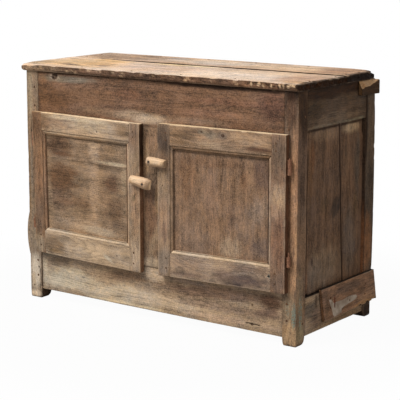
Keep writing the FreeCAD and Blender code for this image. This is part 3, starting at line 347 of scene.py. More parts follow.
def board(along, face, s, a, level, thick, tone, arris=None, chip=4.0, wave=None, column=None,
          run=None, relief=None, bend=None, cracks=(), rough=(0.4, 0.4), fine=False, wear=1.0,
          seed=1, **looks):
    """A closed board with worn arrises, as points, faces and what its material reads.

    along is the axis of its length and face the side that shows, such as "-y". s and a give its
    extent along and across; a pair inside them gives both ends of a slanting edge. fine adds
    rings near its start, and looks go on to describe."""
    sizes = bpy.context.scene.cupboard_sizes
    arris = sizes.arris if arris is None else arris
    wave = sizes.wave if wave is None else wave
    column = column or sizes.column
    run = run or sizes.run
    axis, normal = "xyz".index(along), "xyz".index(face[1])
    cross = 3 - axis - normal
    outward = 1 if face[0] == "+" else -1
    (s_low, s_low_far), (s_high, s_high_far) = ends(s[0]), ends(s[1])
    (a_low, a_low_far), (a_high, a_high_far) = ends(a[0]), ends(a[1])
    length = max(s_high, s_high_far) - min(s_low, s_low_far)
    width = max(a_high - a_low, a_high_far - a_low_far)
    arris = np.array(arris if isinstance(arris, tuple) else (arris,) * 4)
    reach = min(max(7.0, 1.3 * arris.max()), 0.42 * thick, 0.3 * width)
    loop, face_count, side_count = section(width, thick, reach, column)
    base_a, base_b, corner, way_a, way_b, out_a, out_b = loop.T
    corner = corner.astype(int)
    t, inset = stations(length, run, fine)
    near = s_low + t * (s_high - s_low)
    radius = np.clip(worn_radii(near, arris, chip, seed), 0.25, 0.92 * reach)[:, corner]
    place_a = base_a + radius * way_a - out_a * inset[:, None]
    place_b = base_b + radius * way_b - out_b * inset[:, None]
    low = (a_low + (a_low_far - a_low) * t)[:, None]
    high = (a_high + (a_high_far - a_high) * t)[:, None]

    # Uneven faces, then cracks in the one that shows
    push = wave * unevenness(near, place_a, place_b, seed)
    place_a = place_a + out_a * push
    place_b = place_b + out_b * push
    cracked = np.zeros_like(place_a)
    open_cracks(cracks, near, low[:, 0], high[:, 0], width, column, seed, base_a[:face_count],
                place_a[:, :face_count], place_b[:, :face_count], cracked[:, :face_count])

    # Rings of points along the board
    true_a = low + place_a / width * (high - low)
    share = place_a / width
    start_s = s_low + (s_low_far - s_low) * share
    end_s = s_high + (s_high_far - s_high) * share
    true_s = start_s + (end_s - start_s) * t[:, None]
    if relief:
        rise = relief(true_s[:, :face_count], true_a[:, :face_count])
        place_b[:, :face_count] -= rise
    points = [np.stack([true_s, true_a, place_b], 2).reshape(-1, 3)]
    shown = [np.tile(np.stack([out_a, out_b, 0 * out_a], 1), (len(t), 1))]
    count, total = len(loop), len(points[0])
    faces = [(ring + n, ring + (n + 1) % count, ring + count + (n + 1) % count, ring + count + n)
             for ring in range(0, total - count, count) for n in range(count)]

    # The grids that close its ends
    rows = max(2, round(thick / END_CELL))
    pair = face_count + side_count + face_count - 1 - np.arange(face_count)
    for ring, way, amount in ((0, -1, rough[0]), (len(t) - 1, 1, rough[1])):
        first = ring * count
        points.append(end_points(points[0][first:first + count], pair, rows, way * amount,
                                 (seed + ring, seed + 3)))
        shown.append(np.tile((0, 0, way), (len(points[-1]), 1)))
        faces += [quad if way < 0 else quad[::-1]
                  for quad in end_faces(face_count, side_count, first, total, rows, pair)]
        total += len(points[-1])

    # Wear along the edges and round the ends
    arcs = (way_a != 0) | (way_b != 0)
    worn = edge_wear(near, place_a, width, radius, arris, arcs, face_count, seed)
    near_end = (np.arange(len(t)) < 3) | (np.arange(len(t)) > len(t) - 4)
    worn = np.maximum(worn, 0.25 * min(rough[0] + 0.4, 1) * near_end[:, None]) * wear
    marks = np.zeros((total, 2))
    marks[:worn.size] = np.stack([worn, cracked], 2).reshape(-1, 2)

    local = np.concatenate(points)
    place = np.zeros_like(local)
    place[:, axis] = local[:, 0]
    place[:, cross] = local[:, 1]
    place[:, normal] = level - outward * local[:, 2]
    if bend:
        place = bend(place)
    if np.linalg.det(np.eye(3)[[axis, cross, normal]]) * outward > 0:
        faces = [quad[::-1] for quad in faces]
    facts = describe(local, tone, (*s, *a), seed, np.concatenate(shown), **looks)
    facts["mask"][:, :2] = np.clip(facts["mask"][:, :2] + marks, 0, 1)
    return {"place": place, "faces": faces, **facts}


def lay_patches(patches, place, on, plain, ragged, colour, mask):
    """Lays patches of colour, flaked paint, grime and painted shade over a board's own colour."""
    s, a, b = place.T
    for at_s, at_a, half_s, half_a, code, strength, *more in patches:
        turn = math.radians(more[0]) if more else 0.0
        edge = more[1] if len(more) > 1 else None
        off_s, off_a = s - at_s, (b if edge else a) - at_a
        along_s = (off_s * math.cos(turn) + off_a * math.sin(turn)) / half_s
        along_a = (off_a * math.cos(turn) - off_s * math.sin(turn)) / half_a
        amount = smooth(1.25, 0.45, np.hypot(along_s, along_a) + 0.33 * ragged) * strength
        amount = amount * (on[edge] if edge else plain)
        if code == "paint":
            mask[:, 2] = np.maximum(mask[:, 2], amount)
        # This mask darkens towards the grime colour: real grime, and on some boards painted shade.
        elif code == "dirt":
            mask[:, 1] = np.maximum(mask[:, 1], amount)
        else:
            colour += (np.array(linear(code)) - colour) * amount[:, None]


def lay_edge_darkening(dirt, soil, place, extent, ragged, mask):
    """Grime and painted shade along the ends and edges of a board, thinning out inwards."""
    s, a, _ = place.T
    (s_low, s_low_far), (s_high, s_high_far), (a_low, a_low_far), (a_high, a_high_far) = extent
    share_s = np.clip((s - s_low) / (s_high - s_low), 0, 1)
    share_a = np.clip((a - a_low) / (a_high - a_low), 0, 1)
    reaches = (s - s_low - (s_low_far - s_low) * share_a,
               s_high + (s_high_far - s_high) * share_a - s,
               a - a_low - (a_low_far - a_low) * share_s,
               a_high + (a_high_far - a_high) * share_s - a)
    narrow = min(soil, 0.17 * (a_high - a_low))
    for amount, distance in zip(dirt, reaches):
        shade = amount * np.exp(-np.clip(distance, 0, None) / narrow) * (0.85 + 0.4 * ragged)
        mask[:, 1] = np.maximum(mask[:, 1], shade)


def grown(place, middle, knots, seed):
    """Where each point lies in the wood as it grew: its grain, its year ring and its knot.

    The pith wanders below the board, so its rings come out as long arches, which bend round
    the knots."""
    s, a, b = place.T
    random = np.random.default_rng(seed)
    pith_a, pith_b = middle + random.uniform(-25, 25), random.uniform(18, 60)
    line = pith_a + 16 * waver(s, 260, seed + 21)
    under = pith_b + 14 * waver(s, 190, seed + 22) + s * random.uniform(-0.04, 0.04)
    warp_a = a.copy()
    knot = np.full((len(s), 3), NO_KNOT)
    for at_s, at_a, size in knots:
        off_s, off_a = s - at_s, a - at_a
        pull = np.exp(-(off_s / (5.5 * size)) ** 2 - (off_a / (2.6 * size)) ** 2)
        warp_a -= off_a * 0.72 * pull
        here = np.hypot(off_s * 0.8, off_a) < 4.2 * size
        knot[here] = np.stack([off_s * 0.8 / size, off_a / size, b / size * 0.1], 1)[here]
    ring = np.hypot(warp_a - line, b + under) / random.uniform(4.2, 6.5)
    grain = np.stack([s, warp_a, b], 1) * MM + random.uniform(3, 60, 3)
    return grain, ring, knot


def describe(local, tone, extent, seed, shown=None, knots=(), patches=(), dirt=(0, 0, 0, 0),
             sides=(), caps=(), soil=5.0):
    """What the wood's material reads: grain, colour, wear, year rings and knots.

    shown is the way each point faces, dirt the strength at each edge of a darkening that stands for
    grime and painted shade alike, and soil how far it reaches. sides and caps are the colours of
    the two sides and the two ends."""
    s, a, b = local.T
    if shown is None:
        shown = np.tile((0.0, -1.0, 0.0), (len(s), 1))
    on = {"low": smooth(0.3, 0.75, -shown[:, 0]), "high": smooth(0.3, 0.75, shown[:, 0])}
    spread = np.stack([s / 70, a / 16, b / 16], 1)
    ragged = noise(spread, seed + 11) * 0.6 + noise(spread * 2.7, seed + 12) * 0.4
    colour = np.tile(np.array(tone[:3], float), (len(s), 1))
    plain = np.ones(len(s))
    for key, code in zip(("low", "high"), sides):
        if code:
            colour += (np.array(linear(code)) - colour) * on[key][:, None]
            plain -= on[key]
    for way, code in zip((-1, 1), caps):
        if code:
            colour[shown[:, 2] == way] = linear(code)
            plain[shown[:, 2] == way] = 0
    mask = np.zeros((len(s), 4))
    mask[:, 3] = 1
    extent = [ends(edge) for edge in extent]
    lay_patches(patches, local, on, plain, ragged, colour, mask)
    lay_edge_darkening(dirt, soil, local, extent, ragged, mask)
    middle = (extent[2][0] + extent[3][0]) / 2
    grain, ring, knot = grown(local, middle, knots, seed)
    return {"grain": grain, "tone": colour, "mask": mask, "ring": ring, "knot": knot}


def joined(parts):
    """Several made shapes as one, each still closed."""
    result = {key: np.concatenate([part[key] for part in parts]) for key in parts[0]
              if key != "faces"}
    faces, first = [], 0
    for part in parts:
        faces += [tuple(n + first for n in corners) for corners in part["faces"]]
        first += len(part["place"])
    return {**result, "faces": faces}


def piece(node, shape, slot, holes=()):
    """The finished object of a shape, which stands for a node and rides with it."""
    name = node + "_timber"
    mesh = bpy.data.meshes.new(name)
    points = np.clip(shape["place"] * MM + np.array(DATUM), *CAD_BOX)
    mesh.from_pydata(points.tolist(), [], shape["faces"])
    store(mesh, shape)
    mesh.polygons.foreach_set("use_smooth", np.ones(len(mesh.polygons), bool))
    made = bmesh.new()
    made.from_mesh(mesh)
    bmesh.ops.recalc_face_normals(made, faces=made.faces)
    made.to_mesh(mesh)
    made.free()
    mesh.set_sharp_from_angle(angle=math.radians(SHARP))
    mesh.materials.append(material(slot))
    ob = placed(name, mesh)
    for hole in holes:
        bore(ob, hole)
    settle(ob, node)


def placed(name, data):
    """A new object in the scene."""
    ob = bpy.data.objects.new(name, data)
    bpy.context.scene.collection.objects.link(ob)
    return ob


def settle(ob, node):
    """Hides the node that an object stands for, and hangs the object on the body that the node
    rides on.
    """
    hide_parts(node)
    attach(ob, frame["nodes"][node]["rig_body"])


# Materials


class Value:
    """A node's output in an expression. Each operator adds a Math node."""

    def __init__(self, graph, socket):
        self.graph, self.socket = graph, socket

    def math(self, operation, *others):
        """A Math node on this value and these."""
        return self.graph.node("ShaderNodeMath", {"operation": operation},
                               dict(enumerate((self, *others))))

    def __add__(self, other):
        return self.math("ADD", other)

    def __sub__(self, other):
        return self.math("SUBTRACT", other)

    def __rsub__(self, other):
        return self.graph.node("ShaderNodeMath", {"operation": "SUBTRACT"}, {0: other, 1: self})

    def __mul__(self, other):
        return self.math("MULTIPLY", other)

    __radd__, __rmul__ = __add__, __mul__

    def clamped(self):
        """This value, kept from 0 to 1."""
        return self.math("MINIMUM", 1.0).math("MAXIMUM", 0.0)

    def step(self, low, high):
        """0 below low and 1 above high, smooth between them. The other way if low is more."""
        if low > high:
            return 1 - self.step(high, low)
        return self.graph.node("ShaderNodeMapRange", {"interpolation_type": "SMOOTHSTEP"},
                               {"Value": self, "From Min": low, "From Max": high})


class Graph:
    """A node tree under construction."""

    def __init__(self, tree):
        self.tree = tree
        tree.nodes.clear()

    @staticmethod
    def pick(sockets, key):
        """The socket with this number, identifier or name."""
        if isinstance(key, int):
            return sockets[key]
        for socket in sockets:
            if socket.identifier == key:
                return socket
        return sockets[key]

    def node(self, kind, settings=None, inputs=None, output=0):
        """Adds a node: its settings first, then the values or links of its sockets."""
        node = self.tree.nodes.new(kind)
        for key, value in (settings or {}).items():
            if key == "stops":
                ramp = node.color_ramp
                while len(ramp.elements) < len(value):
                    ramp.elements.new(0.5)
                for stop, (place, colour) in zip(ramp.elements, value):
                    stop.position, stop.color = place, (*colour, 1)
            else:
                setattr(node, key, value)
        for key, value in (inputs or {}).items():
            socket = self.pick(node.inputs, key)
            if isinstance(value, (Value, list)):
                for source in value if isinstance(value, list) else [value]:
                    self.tree.links.new(source.socket, socket)
            elif socket.type == "RGBA":
                socket.default_value = (*value[:3], 1)
            else:
                socket.default_value = value
        return Value(self, self.pick(node.outputs, output)) if node.outputs else None


class Shader(Graph):
    """A material under construction."""

    def __init__(self, name):
        self.material = bpy.data.materials.new(name)
        self.material.use_nodes = True
        super().__init__(self.material.node_tree)

    def attribute(self, name, output="Fac"):
        """An attribute that the piece carries."""
        return self.node("ShaderNodeAttribute", {"attribute_name": name}, {}, output)

    def scaled(self, vector, factors):
        """A vector times another, axis by axis."""
        return self.node("ShaderNodeVectorMath", {"operation": "MULTIPLY"}, {0: vector, 1: factors})

    def noise(self, vector, factors, detail=2.0, rough=0.55):
        """Noise on a vector, stretched by these factors."""
        return self.node("ShaderNodeTexNoise", {}, {
            "Vector": self.scaled(vector, factors), "Scale": 1.0, "Detail": detail,
            "Roughness": rough}, "Fac")

    def mix(self, share, first, second, blend="MIX"):
        """Two colours mixed."""
        return self.node("ShaderNodeMix", {"data_type": "RGBA", "blend_type": blend}, {
            "Factor_Float": share, "A_Color": first, "B_Color": second}, "Result_Color")

    def lit(self, colour, amount):
        """A colour made lighter or darker by a factor."""
        return self.node("ShaderNodeVectorMath", {"operation": "SCALE"},
                         {0: colour, "Scale": amount})

    def finish(self, colour, roughness, height, distance, strength=0.7, metallic=0.0, gloss=0.1):
        """The principled surface with its bump."""
        normal = self.node("ShaderNodeBump", {}, {
            "Strength": strength, "Distance": distance, "Height": height})
        surface = self.node("ShaderNodeBsdfPrincipled", {}, {
            "Base Color": colour, "Roughness": roughness, "Normal": normal,
            "Metallic": metallic, "Specular IOR Level": gloss})
        self.node("ShaderNodeOutputMaterial", {}, {"Surface": surface})
        return self.material


def scratched(shader, place):
    """Fine scratches and scuffs that run every way, from 0 to 1."""
    scratch = None
    for turn, seed in ((0.5, 3.0), (-0.9, 9.0), (2.1, 17.0)):
        turned = shader.node("ShaderNodeVectorRotate", {"rotation_type": "AXIS_ANGLE"}, {
            "Vector": place, "Axis": (0.15, 1.0, 0.1), "Angle": turn})
        line = shader.noise(turned, (26 + seed, 26, 190 + seed), 2.0, 0.5)
        thin = (line - 0.5).math("ABSOLUTE").step(0.012, 0.004)
        thin = thin * shader.noise(turned, (34, 34, 34 + seed), 1.0).step(0.52, 0.62)
        scratch = thin if scratch is None else scratch.math("MAXIMUM", thin)
    return scratch


def wood(slot, contrast=1.0, silver=0.12, rings=0.22, worm=0.5, scratches=0.5):
    """Old softwood that reads each board's own grain, colour, wear and knots."""
    colours = bpy.context.scene.cupboard_colours
    shader = Shader(slot)
    place = shader.node("ShaderNodeTexCoord", {}, {}, "Object")
    grain = shader.attribute("grain", "Vector")
    tone = shader.attribute("tone", "Color")
    wear = shader.node("ShaderNodeSeparateColor", {}, {0: shader.attribute("mask", "Color")})
    dirt = Value(shader, wear.socket.node.outputs[1])
    paint = Value(shader, wear.socket.node.outputs[2])
    streak = shader.noise(grain, (13, 250, 250), 3.0, 0.62)
    broad = shader.noise(grain, (4.5, 40, 40), 3.0)
    fibre = shader.noise(grain, (70, 1200, 1200), 2.0, 0.7)
    mottle = shader.noise(grain, (42, 80, 80), 4.0, 0.64)
    blotch = shader.noise(place, (19, 19, 19), 5.0, 0.62)
    speck = shader.noise(place, (290, 290, 290), 3.0, 0.75)
    film = shader.noise(place, (6, 6, 6), 3.0)

    # Year rings: a slow pale side and a narrow dark one
    ring = shader.attribute("ring") + mottle * 0.55 + broad * 1.3
    phase = ring.math("FRACT")
    late = phase.step(0.45, 0.93) * phase.step(1.0, 0.95)

    # Knots: a dark heart with its own rings, and a rim
    off = shader.attribute("knot", "Vector")
    off = shader.node("ShaderNodeVectorMath", {"operation": "LENGTH"}, {0: off}, "Value")
    off = off + (mottle - 0.5) * 0.7
    heart = off.step(1.15, 0.8)
    rim = off.step(0.7, 1.0) * off.step(1.5, 1.1)
    turns = (off * 11).math("SINE") * off.step(2.6, 1.0)

    grey = shader.node("ShaderNodeRGBToBW", {}, {0: tone})
    bright = (grey * 7.0).clamped()
    varied = ((streak - 0.5) * 0.9 + (broad - 0.5) * 1.2 + (mottle - 0.5) * 0.8
              + (fibre - 0.5) * 1.4 + (blotch - 0.5) * 1.0 + (speck - 0.5) * 2.6)
    level = (1 + varied * (1.2 - (grey * 2).clamped() * 0.6) * contrast
             - late * rings - rim * 0.35 + turns * 0.1)
    level = level.math("MAXIMUM", 0.25)
    warm = (film * 0.6 + mottle * 0.4).step(0.36, 0.62)
    hue = shader.mix(warm, (0.97, 1.0, 1.05), (1.07, 0.99, 0.86))
    colour = shader.scaled(shader.lit(tone, level), hue)
    silvered = shader.mix(0.5, tone, linear("a39b92"))
    colour = shader.mix((film - 0.42).clamped() * bright * (2.2 * silver), colour,
                        shader.lit(silvered, level))
    colour = shader.mix((broad * streak).step(0.30, 0.48) * 0.1, colour, linear("7d4a2c"))
    colour = shader.mix(heart * 0.82, colour, linear("3a2418"))

    # Scuffs and scratches across the grain, worn arrises, flaking paint, worm holes, and grime with
    # painted shade
    scratch = scratched(shader, place)
    pale = shader.lit(shader.mix(0.35, tone, tuple(colours.pale)), 1.15 + (fibre - 0.5) * 0.5)
    colour = shader.mix(scratch * bright * (scratches * 0.6), colour, pale)
    worn = (wear * (0.55 + streak * 0.9) - (mottle - 0.5) * 0.8).step(0.35, 0.95)
    colour = shader.mix(worn * (bright * 0.5 + 0.25), colour, pale)
    flaked = (paint - shader.noise(grain, (240, 320, 320), 3.0, 0.65) * 0.9).step(0.02, 0.14)
    colour = shader.mix(flaked * 0.8, colour, tuple(colours.paint))
    holes = shader.node("ShaderNodeTexVoronoi", {}, {
        "Vector": shader.scaled(grain, (52, 68, 68)), "Scale": 1.0}, "Distance")
    bored = holes.step(0.075, 0.05) * (mottle * broad).step(0.27, 0.31) * worm
    pores = shader.noise(grain, (130, 420, 420), 2.0, 0.6).step(0.67, 0.74) * 0.35
    # Grime and painted shade from the mask's second channel, mixed towards the dark colour.
    grime_and_shade = (dirt * (0.75 + mottle * 0.5)).clamped()
    colour = shader.mix(pores, colour, shader.lit(tone, 0.42))
    colour = shader.mix(grime_and_shade, colour, tuple(colours.dark))
    colour = shader.mix(bored, colour, linear("1c120c"))
    rough = 0.7 + (mottle - 0.5) * 0.22 + worn * 0.06 - late * 0.08 + grime_and_shade * 0.15
    height = (fibre * 0.30 + streak * 0.6 + late * 0.32 + mottle * 0.35 - pores * 0.5
              - bored * 1.6 + heart * 0.25 - flaked * 0.05 - scratch * 0.1)
    return shader.finish(colour, rough, height, 0.9 * MM)


def rusty_iron(name, lift, gloss):
    """Forged iron under rust, with dark pits."""
    colours = bpy.context.scene.cupboard_colours
    shader = Shader(name)
    place = shader.node("ShaderNodeTexCoord", {}, {}, "Object")
    coarse = shader.noise(place, (160, 160, 160), 4.0, 0.65)
    fine = shader.noise(place, (900, 900, 900), 3.0, 0.7)
    colour = shader.node("ShaderNodeValToRGB", {"stops": [
        (0.25, linear("3b2a21")), (0.44, tuple(colours.iron)), (0.6, linear("8e6b57")),
        (0.76, linear("b59a8a"))]}, {"Fac": coarse * 0.75 + fine * 0.25}, "Color")
    colour = shader.scaled(colour, lift)
    bare = (coarse * 0.5 + fine * 0.5).step(0.40, 0.30) * 0.5
    height = coarse * 0.6 + fine * 0.4
    return shader.finish(colour, 0.86 - bare * 0.25, height, 0.7 * MM, 0.9, bare * gloss, gloss)


def torn_paper(name):
    """The backing of a torn label: pale paper fibre, stained and scuffed."""
    shader = Shader(name)
    place = shader.node("ShaderNodeTexCoord", {}, {}, "Object")
    stain = shader.noise(place, (28, 28, 28), 4.0, 0.6)
    fibre = shader.noise(place, (700, 700, 700), 2.0, 0.7)
    colour = shader.node("ShaderNodeValToRGB", {"stops": [
        (0.34, linear("84705f")), (0.5, linear("a89684")), (0.66, linear("c4b3a1"))]},
        {"Fac": stain * 0.8 + fibre * 0.2}, "Color")
    return shader.finish(colour, 0.9 - fibre * 0.1, stain * 0.4 + fibre * 0.6, 0.3 * MM)


WOODS = {
    "frame_wood": {},
    "door_wood": {"scratches": 0.85},
    "top_wood": {"contrast": 1.5, "silver": 0.1, "rings": 0.2, "worm": 0.8},
    "side_wood": {"contrast": 1.15, "silver": 0.0, "scratches": 0.35},
    "inner_wood": {"contrast": 0.8, "silver": 0.1, "worm": 0.3},
    "repair_wood": {"contrast": 1.3, "silver": 0.0},
    "block_wood": {"contrast": 0.9, "silver": 0.05},
    "button_wood": {"contrast": 0.6, "silver": 0.1, "rings": 0.15, "worm": 0.0},
    "peg_wood": {"contrast": 0.9, "silver": 0.1, "worm": 0.0},
}


IRONS = {
    "iron": {"lift": (1.15, 1.02, 0.88), "gloss": 0.3},
    "nail_iron": {"lift": (0.4, 0.28, 0.2), "gloss": 0.0},
}


def material(slot):
    """The material of a slot, made once. The frame's own plain one is renamed."""
    made = bpy.data.materials.get(slot)
    if made and "made_here" in made:
        return made
    if made:
        made.name = slot + "_plain"
    if slot in WOODS:
        made = wood(slot, **WOODS[slot])
    elif slot in IRONS:
        made = rusty_iron(slot, **IRONS[slot])
    else:
        made = torn_paper(slot)
    made["made_here"] = True
    return made


def tone(slot, code=None):
    """A wood's usual colour, or this one."""
    return linear(code) if code else tuple(getattr(bpy.context.scene.cupboard_colours, slot))


# Geometry Nodes: pegs and nails, each set on a point of its own. Its wide end is its head, or the
# end away from the cupboard's heart if both are the same width, in metres.
SAME_WIDTH, HEART = 1e-4, (0, 0.25, 0)


class Tree(Graph):
    """A Geometry Nodes tree under construction, with its inputs by name."""

    def __init__(self, name, inputs):
        super().__init__(bpy.data.node_groups.new(name, "GeometryNodeTree"))
        face = self.tree.interface
        face.new_socket("Geometry", in_out="OUTPUT", socket_type="NodeSocketGeometry")
        face.new_socket("Points", in_out="INPUT", socket_type="NodeSocketGeometry")
        self.names = {}
        for key, (kind, default) in inputs.items():
            socket = face.new_socket(key, in_out="INPUT", socket_type="NodeSocket" + kind)
            if default is not None:
                socket.default_value = default
            self.names[key] = socket.identifier
        self.start = self.tree.nodes.new("NodeGroupInput")

    def given(self, key):
        """A named input."""
        return Value(self, self.start.outputs[key])

    def set_on_points(self, shape):
        """One copy of a unit shape on each point, turned and sized as the point says."""
        turn = self.node("GeometryNodeInputNamedAttribute", {"data_type": "FLOAT_VECTOR"},
                         {"Name": "turn"})
        size = self.node("GeometryNodeInputNamedAttribute", {"data_type": "FLOAT_VECTOR"},
                         {"Name": "size"})
        roll = self.node("FunctionNodeRandomValue", {"data_type": "FLOAT"}, {
            "Min_001": 0.0, "Max_001": 6.28, "Seed": self.given("Seed")}, "Value_001")
        spin = self.node("ShaderNodeCombineXYZ", {}, {"Z": roll})
        spin = self.node("FunctionNodeEulerToRotation", {}, {0: spin})
        turn = self.node("FunctionNodeEulerToRotation", {}, {0: turn})
        turn = self.node("FunctionNodeRotateRotation", {"rotation_space": "LOCAL"},
                         {"Rotation": turn, "Rotate By": spin})
        instances = self.node("GeometryNodeInstanceOnPoints", {}, {
            "Points": self.given("Points"), "Instance": shape, "Rotation": turn, "Scale": size})
        real = self.node("GeometryNodeRealizeInstances", {}, {"Geometry": instances})
        real = self.roughened(real)
        real = self.node("GeometryNodeSetMaterial", {},
                         {"Geometry": real, "Material": self.given("Material")})
        self.node("NodeGroupOutput", {}, {0: real})
        return self.tree, self.names

    def roughened(self, shape):
        """Each point moved a little, so that no two look alike."""
        place = self.node("GeometryNodeInputPosition")
        rough = self.node("ShaderNodeTexNoise", {}, {"Vector": place, "Scale": 260.0}, "Color")
        rough = self.node("ShaderNodeVectorMath", {"operation": "SUBTRACT"},
                          {0: rough, 1: (0.5, 0.5, 0.5)})
        rough = self.node("ShaderNodeVectorMath", {"operation": "SCALE"},
                          {0: rough, "Scale": self.given("Roughness")})
        return self.node("GeometryNodeSetPosition", {}, {"Geometry": shape, "Offset": rough})


def peg_tree():
    """Pegs cleft with a knife: a faceted stick of unit radius and length, with a domed end."""
    tree = Tree("Driven pegs", {
        "Facets": ("Int", 9), "Dome": ("Float", 0.025), "Roughness": ("Float", 0.0005),
        "Seed": ("Int", 4), "Material": ("Material", None)})
    stick = tree.node("GeometryNodeMeshCylinder", {}, {
        "Vertices": tree.given("Facets"), "Side Segments": 3, "Radius": 1.0, "Depth": 1.0})
    down = tree.node("GeometryNodeTransform", {}, {
        "Geometry": stick, "Translation": (0.0, 0.0, -0.5)})
    dome = tree.node("GeometryNodeMeshCone", {}, {
        "Vertices": tree.given("Facets"), "Radius Top": 0.62, "Radius Bottom": 1.0,
        "Depth": tree.given("Dome")})
    both = tree.node("GeometryNodeJoinGeometry", {}, {"Geometry": [down, dome]})
    merged = tree.node("GeometryNodeMergeByDistance", {}, {"Geometry": both, "Distance": 0.001})
    return tree.set_on_points(merged)


def nail_tree():
    """Cut nails of unit radius and length: a hammered head on a square shank."""
    tree = Tree("Cut nails", {
        "Head": ("Float", 0.06), "Shank": ("Float", 0.45), "Roughness": ("Float", 0.0006),
        "Seed": ("Int", 9), "Material": ("Material", None)})
    head = tree.node("GeometryNodeMeshCone", {}, {
        "Vertices": 8, "Side Segments": 2, "Radius Top": 0.55, "Radius Bottom": 1.0,
        "Depth": tree.given("Head")})
    sunk = tree.node("ShaderNodeCombineXYZ", {}, {"Z": tree.given("Head") * -0.6})
    head = tree.node("GeometryNodeTransform", {}, {"Geometry": head, "Translation": sunk})
    shank = tree.node("GeometryNodeMeshCone", {}, {
        "Vertices": 4, "Side Segments": 3, "Radius Top": 0.12,
        "Radius Bottom": tree.given("Shank"), "Depth": 0.97})
    turned = tree.node("GeometryNodeTransform", {}, {
        "Geometry": shank, "Rotation": (math.pi, 0.0, 0.0), "Translation": (0.0, 0.0, -0.02)})
    both = tree.node("GeometryNodeJoinGeometry", {}, {"Geometry": [head, turned]})
    return tree.set_on_points(both)


def fastener_points(node, slim):
    """Where each fastener of a node stands: its head, its turn and its size in metres."""
    made = bmesh.new()
    made.from_mesh(frame["nodes"][node].data)
    bmesh.ops.remove_doubles(made, verts=made.verts, dist=1e-6)
    left, found = set(made.verts), []
    while left:
        wave = [left.pop()]
        island = list(wave)
        while wave:
            wave = [v for seed in wave for e in seed.link_edges for v in (e.other_vert(seed),)
                    if v in left and not left.discard(v)]
            island += wave
        co = np.array([v.co for v in island])
        middle = (co.min(0) + co.max(0)) / 2
        way = np.linalg.svd(co - middle, full_matrices=False)[2][0]
        along = (co - middle) @ way
        off = np.linalg.norm(co - middle - np.outer(along, way), axis=1)
        wide_end = off[along > 0].max() - off[along < 0].max()
        if abs(wide_end) < SAME_WIDTH:
            wide_end = (middle - np.array(DATUM) - HEART) @ way
        way = way if wide_end > 0 else -way
        along = (co - middle) @ way
        head = middle + way * along.max()
        found.append((head, way, off.max(), along.max() - along.min()))
    made.free()
    mesh = bpy.data.meshes.new(node + "_points")
    mesh.from_pydata([head for head, *_ in found], [], [])
    turns = [Vector(way).to_track_quat("Z", "Y").to_euler() for _, way, *_ in found]
    sizes = [(radius * slim, radius * slim, length) for *_, radius, length in found]
    for key, values in (("turn", turns), ("size", sizes)):
        data = mesh.attributes.new(key, "FLOAT_VECTOR", "POINT").data
        data.foreach_set("vector", np.array(values, np.float32).reshape(-1))
    return mesh


def fasteners(node, slot, tree, inputs, slim=1.0, seed=1):
    """Sets a node's pegs or nails with Geometry Nodes and makes them one plain mesh."""
    group, names = tree
    look = "nail_iron" if slot == "iron" else slot
    points = placed(node + "_set", fastener_points(node, slim))
    setter = points.modifiers.new("Set", "NODES")
    setter.node_group = group
    for key, value in {**inputs, "Seed": seed, "Material": material(look)}.items():
        setter[names[key]] = value
    mesh = plain_mesh(points)
    bpy.data.objects.remove(points)
    mesh.name = node + "_driven"
    co = np.zeros(len(mesh.vertices) * 3)
    mesh.vertices.foreach_get("co", co)
    co = np.clip(co.reshape(-1, 3), *CAD_BOX)
    mesh.vertices.foreach_set("co", co.reshape(-1))
    if slot in WOODS:
        local = (co - np.array(DATUM)) / MM
        store(mesh, describe(local, tone(slot), (0, 1, 0, 1), seed))
    settle(placed(mesh.name, mesh), node)


def plain_mesh(ob):
    """An object's mesh with its modifiers applied."""
    bpy.context.view_layer.update()
    graph = bpy.context.evaluated_depsgraph_get()
    return bpy.data.meshes.new_from_object(ob.evaluated_get(graph), preserve_all_data_layers=True,
                                           depsgraph=graph)


def store(mesh, facts):
    """Puts what the wood's material reads on a mesh."""
    for key, kind, field in (("grain", "FLOAT_VECTOR", "vector"),
                             ("knot", "FLOAT_VECTOR", "vector"), ("ring", "FLOAT", "value")):
        data = mesh.attributes.new(key, kind, "POINT").data
        data.foreach_set(field, np.ascontiguousarray(facts[key], np.float32).reshape(-1))
    colour = np.concatenate([facts["tone"], np.ones((len(mesh.vertices), 1))], 1)
    for key, values in (("tone", colour), ("mask", facts["mask"])):
        data = mesh.color_attributes.new(key, "FLOAT_COLOR", "POINT").data
        data.foreach_set("color", np.ascontiguousarray(values, np.float32).reshape(-1))


def bore(ob, hole):
    """Bores a round, dark-walled hole into a piece's front.

    A hole is its middle, its radius and its depth in millimetres."""
    (x, y, z), radius, depth = hole
    cutter_mesh = bpy.data.meshes.new("cutter")
    made = bmesh.new()
    bmesh.ops.create_cone(made, cap_ends=True, segments=20, radius1=radius * MM,
                          radius2=radius * MM, depth=2 * depth * MM)
    made.to_mesh(cutter_mesh)
    made.free()
    walls = cutter_mesh.color_attributes.new("tone", "FLOAT_COLOR", "POINT").data
    walls.foreach_set("color", np.tile((*linear("4a2814"), 1.0), len(walls)))
    cutter = placed("cutter", cutter_mesh)
    cutter.rotation_euler = (math.pi / 2, 0, 0)
    cutter.location = Vector((x, y, z)) * MM + DATUM
    cut = ob.modifiers.new("Bore", "BOOLEAN")
    cut.operation, cut.object, cut.solver = "DIFFERENCE", cutter, "EXACT"
    mesh = plain_mesh(ob)
    ob.modifiers.clear()
    ob.data = mesh
    bpy.data.objects.remove(cutter)
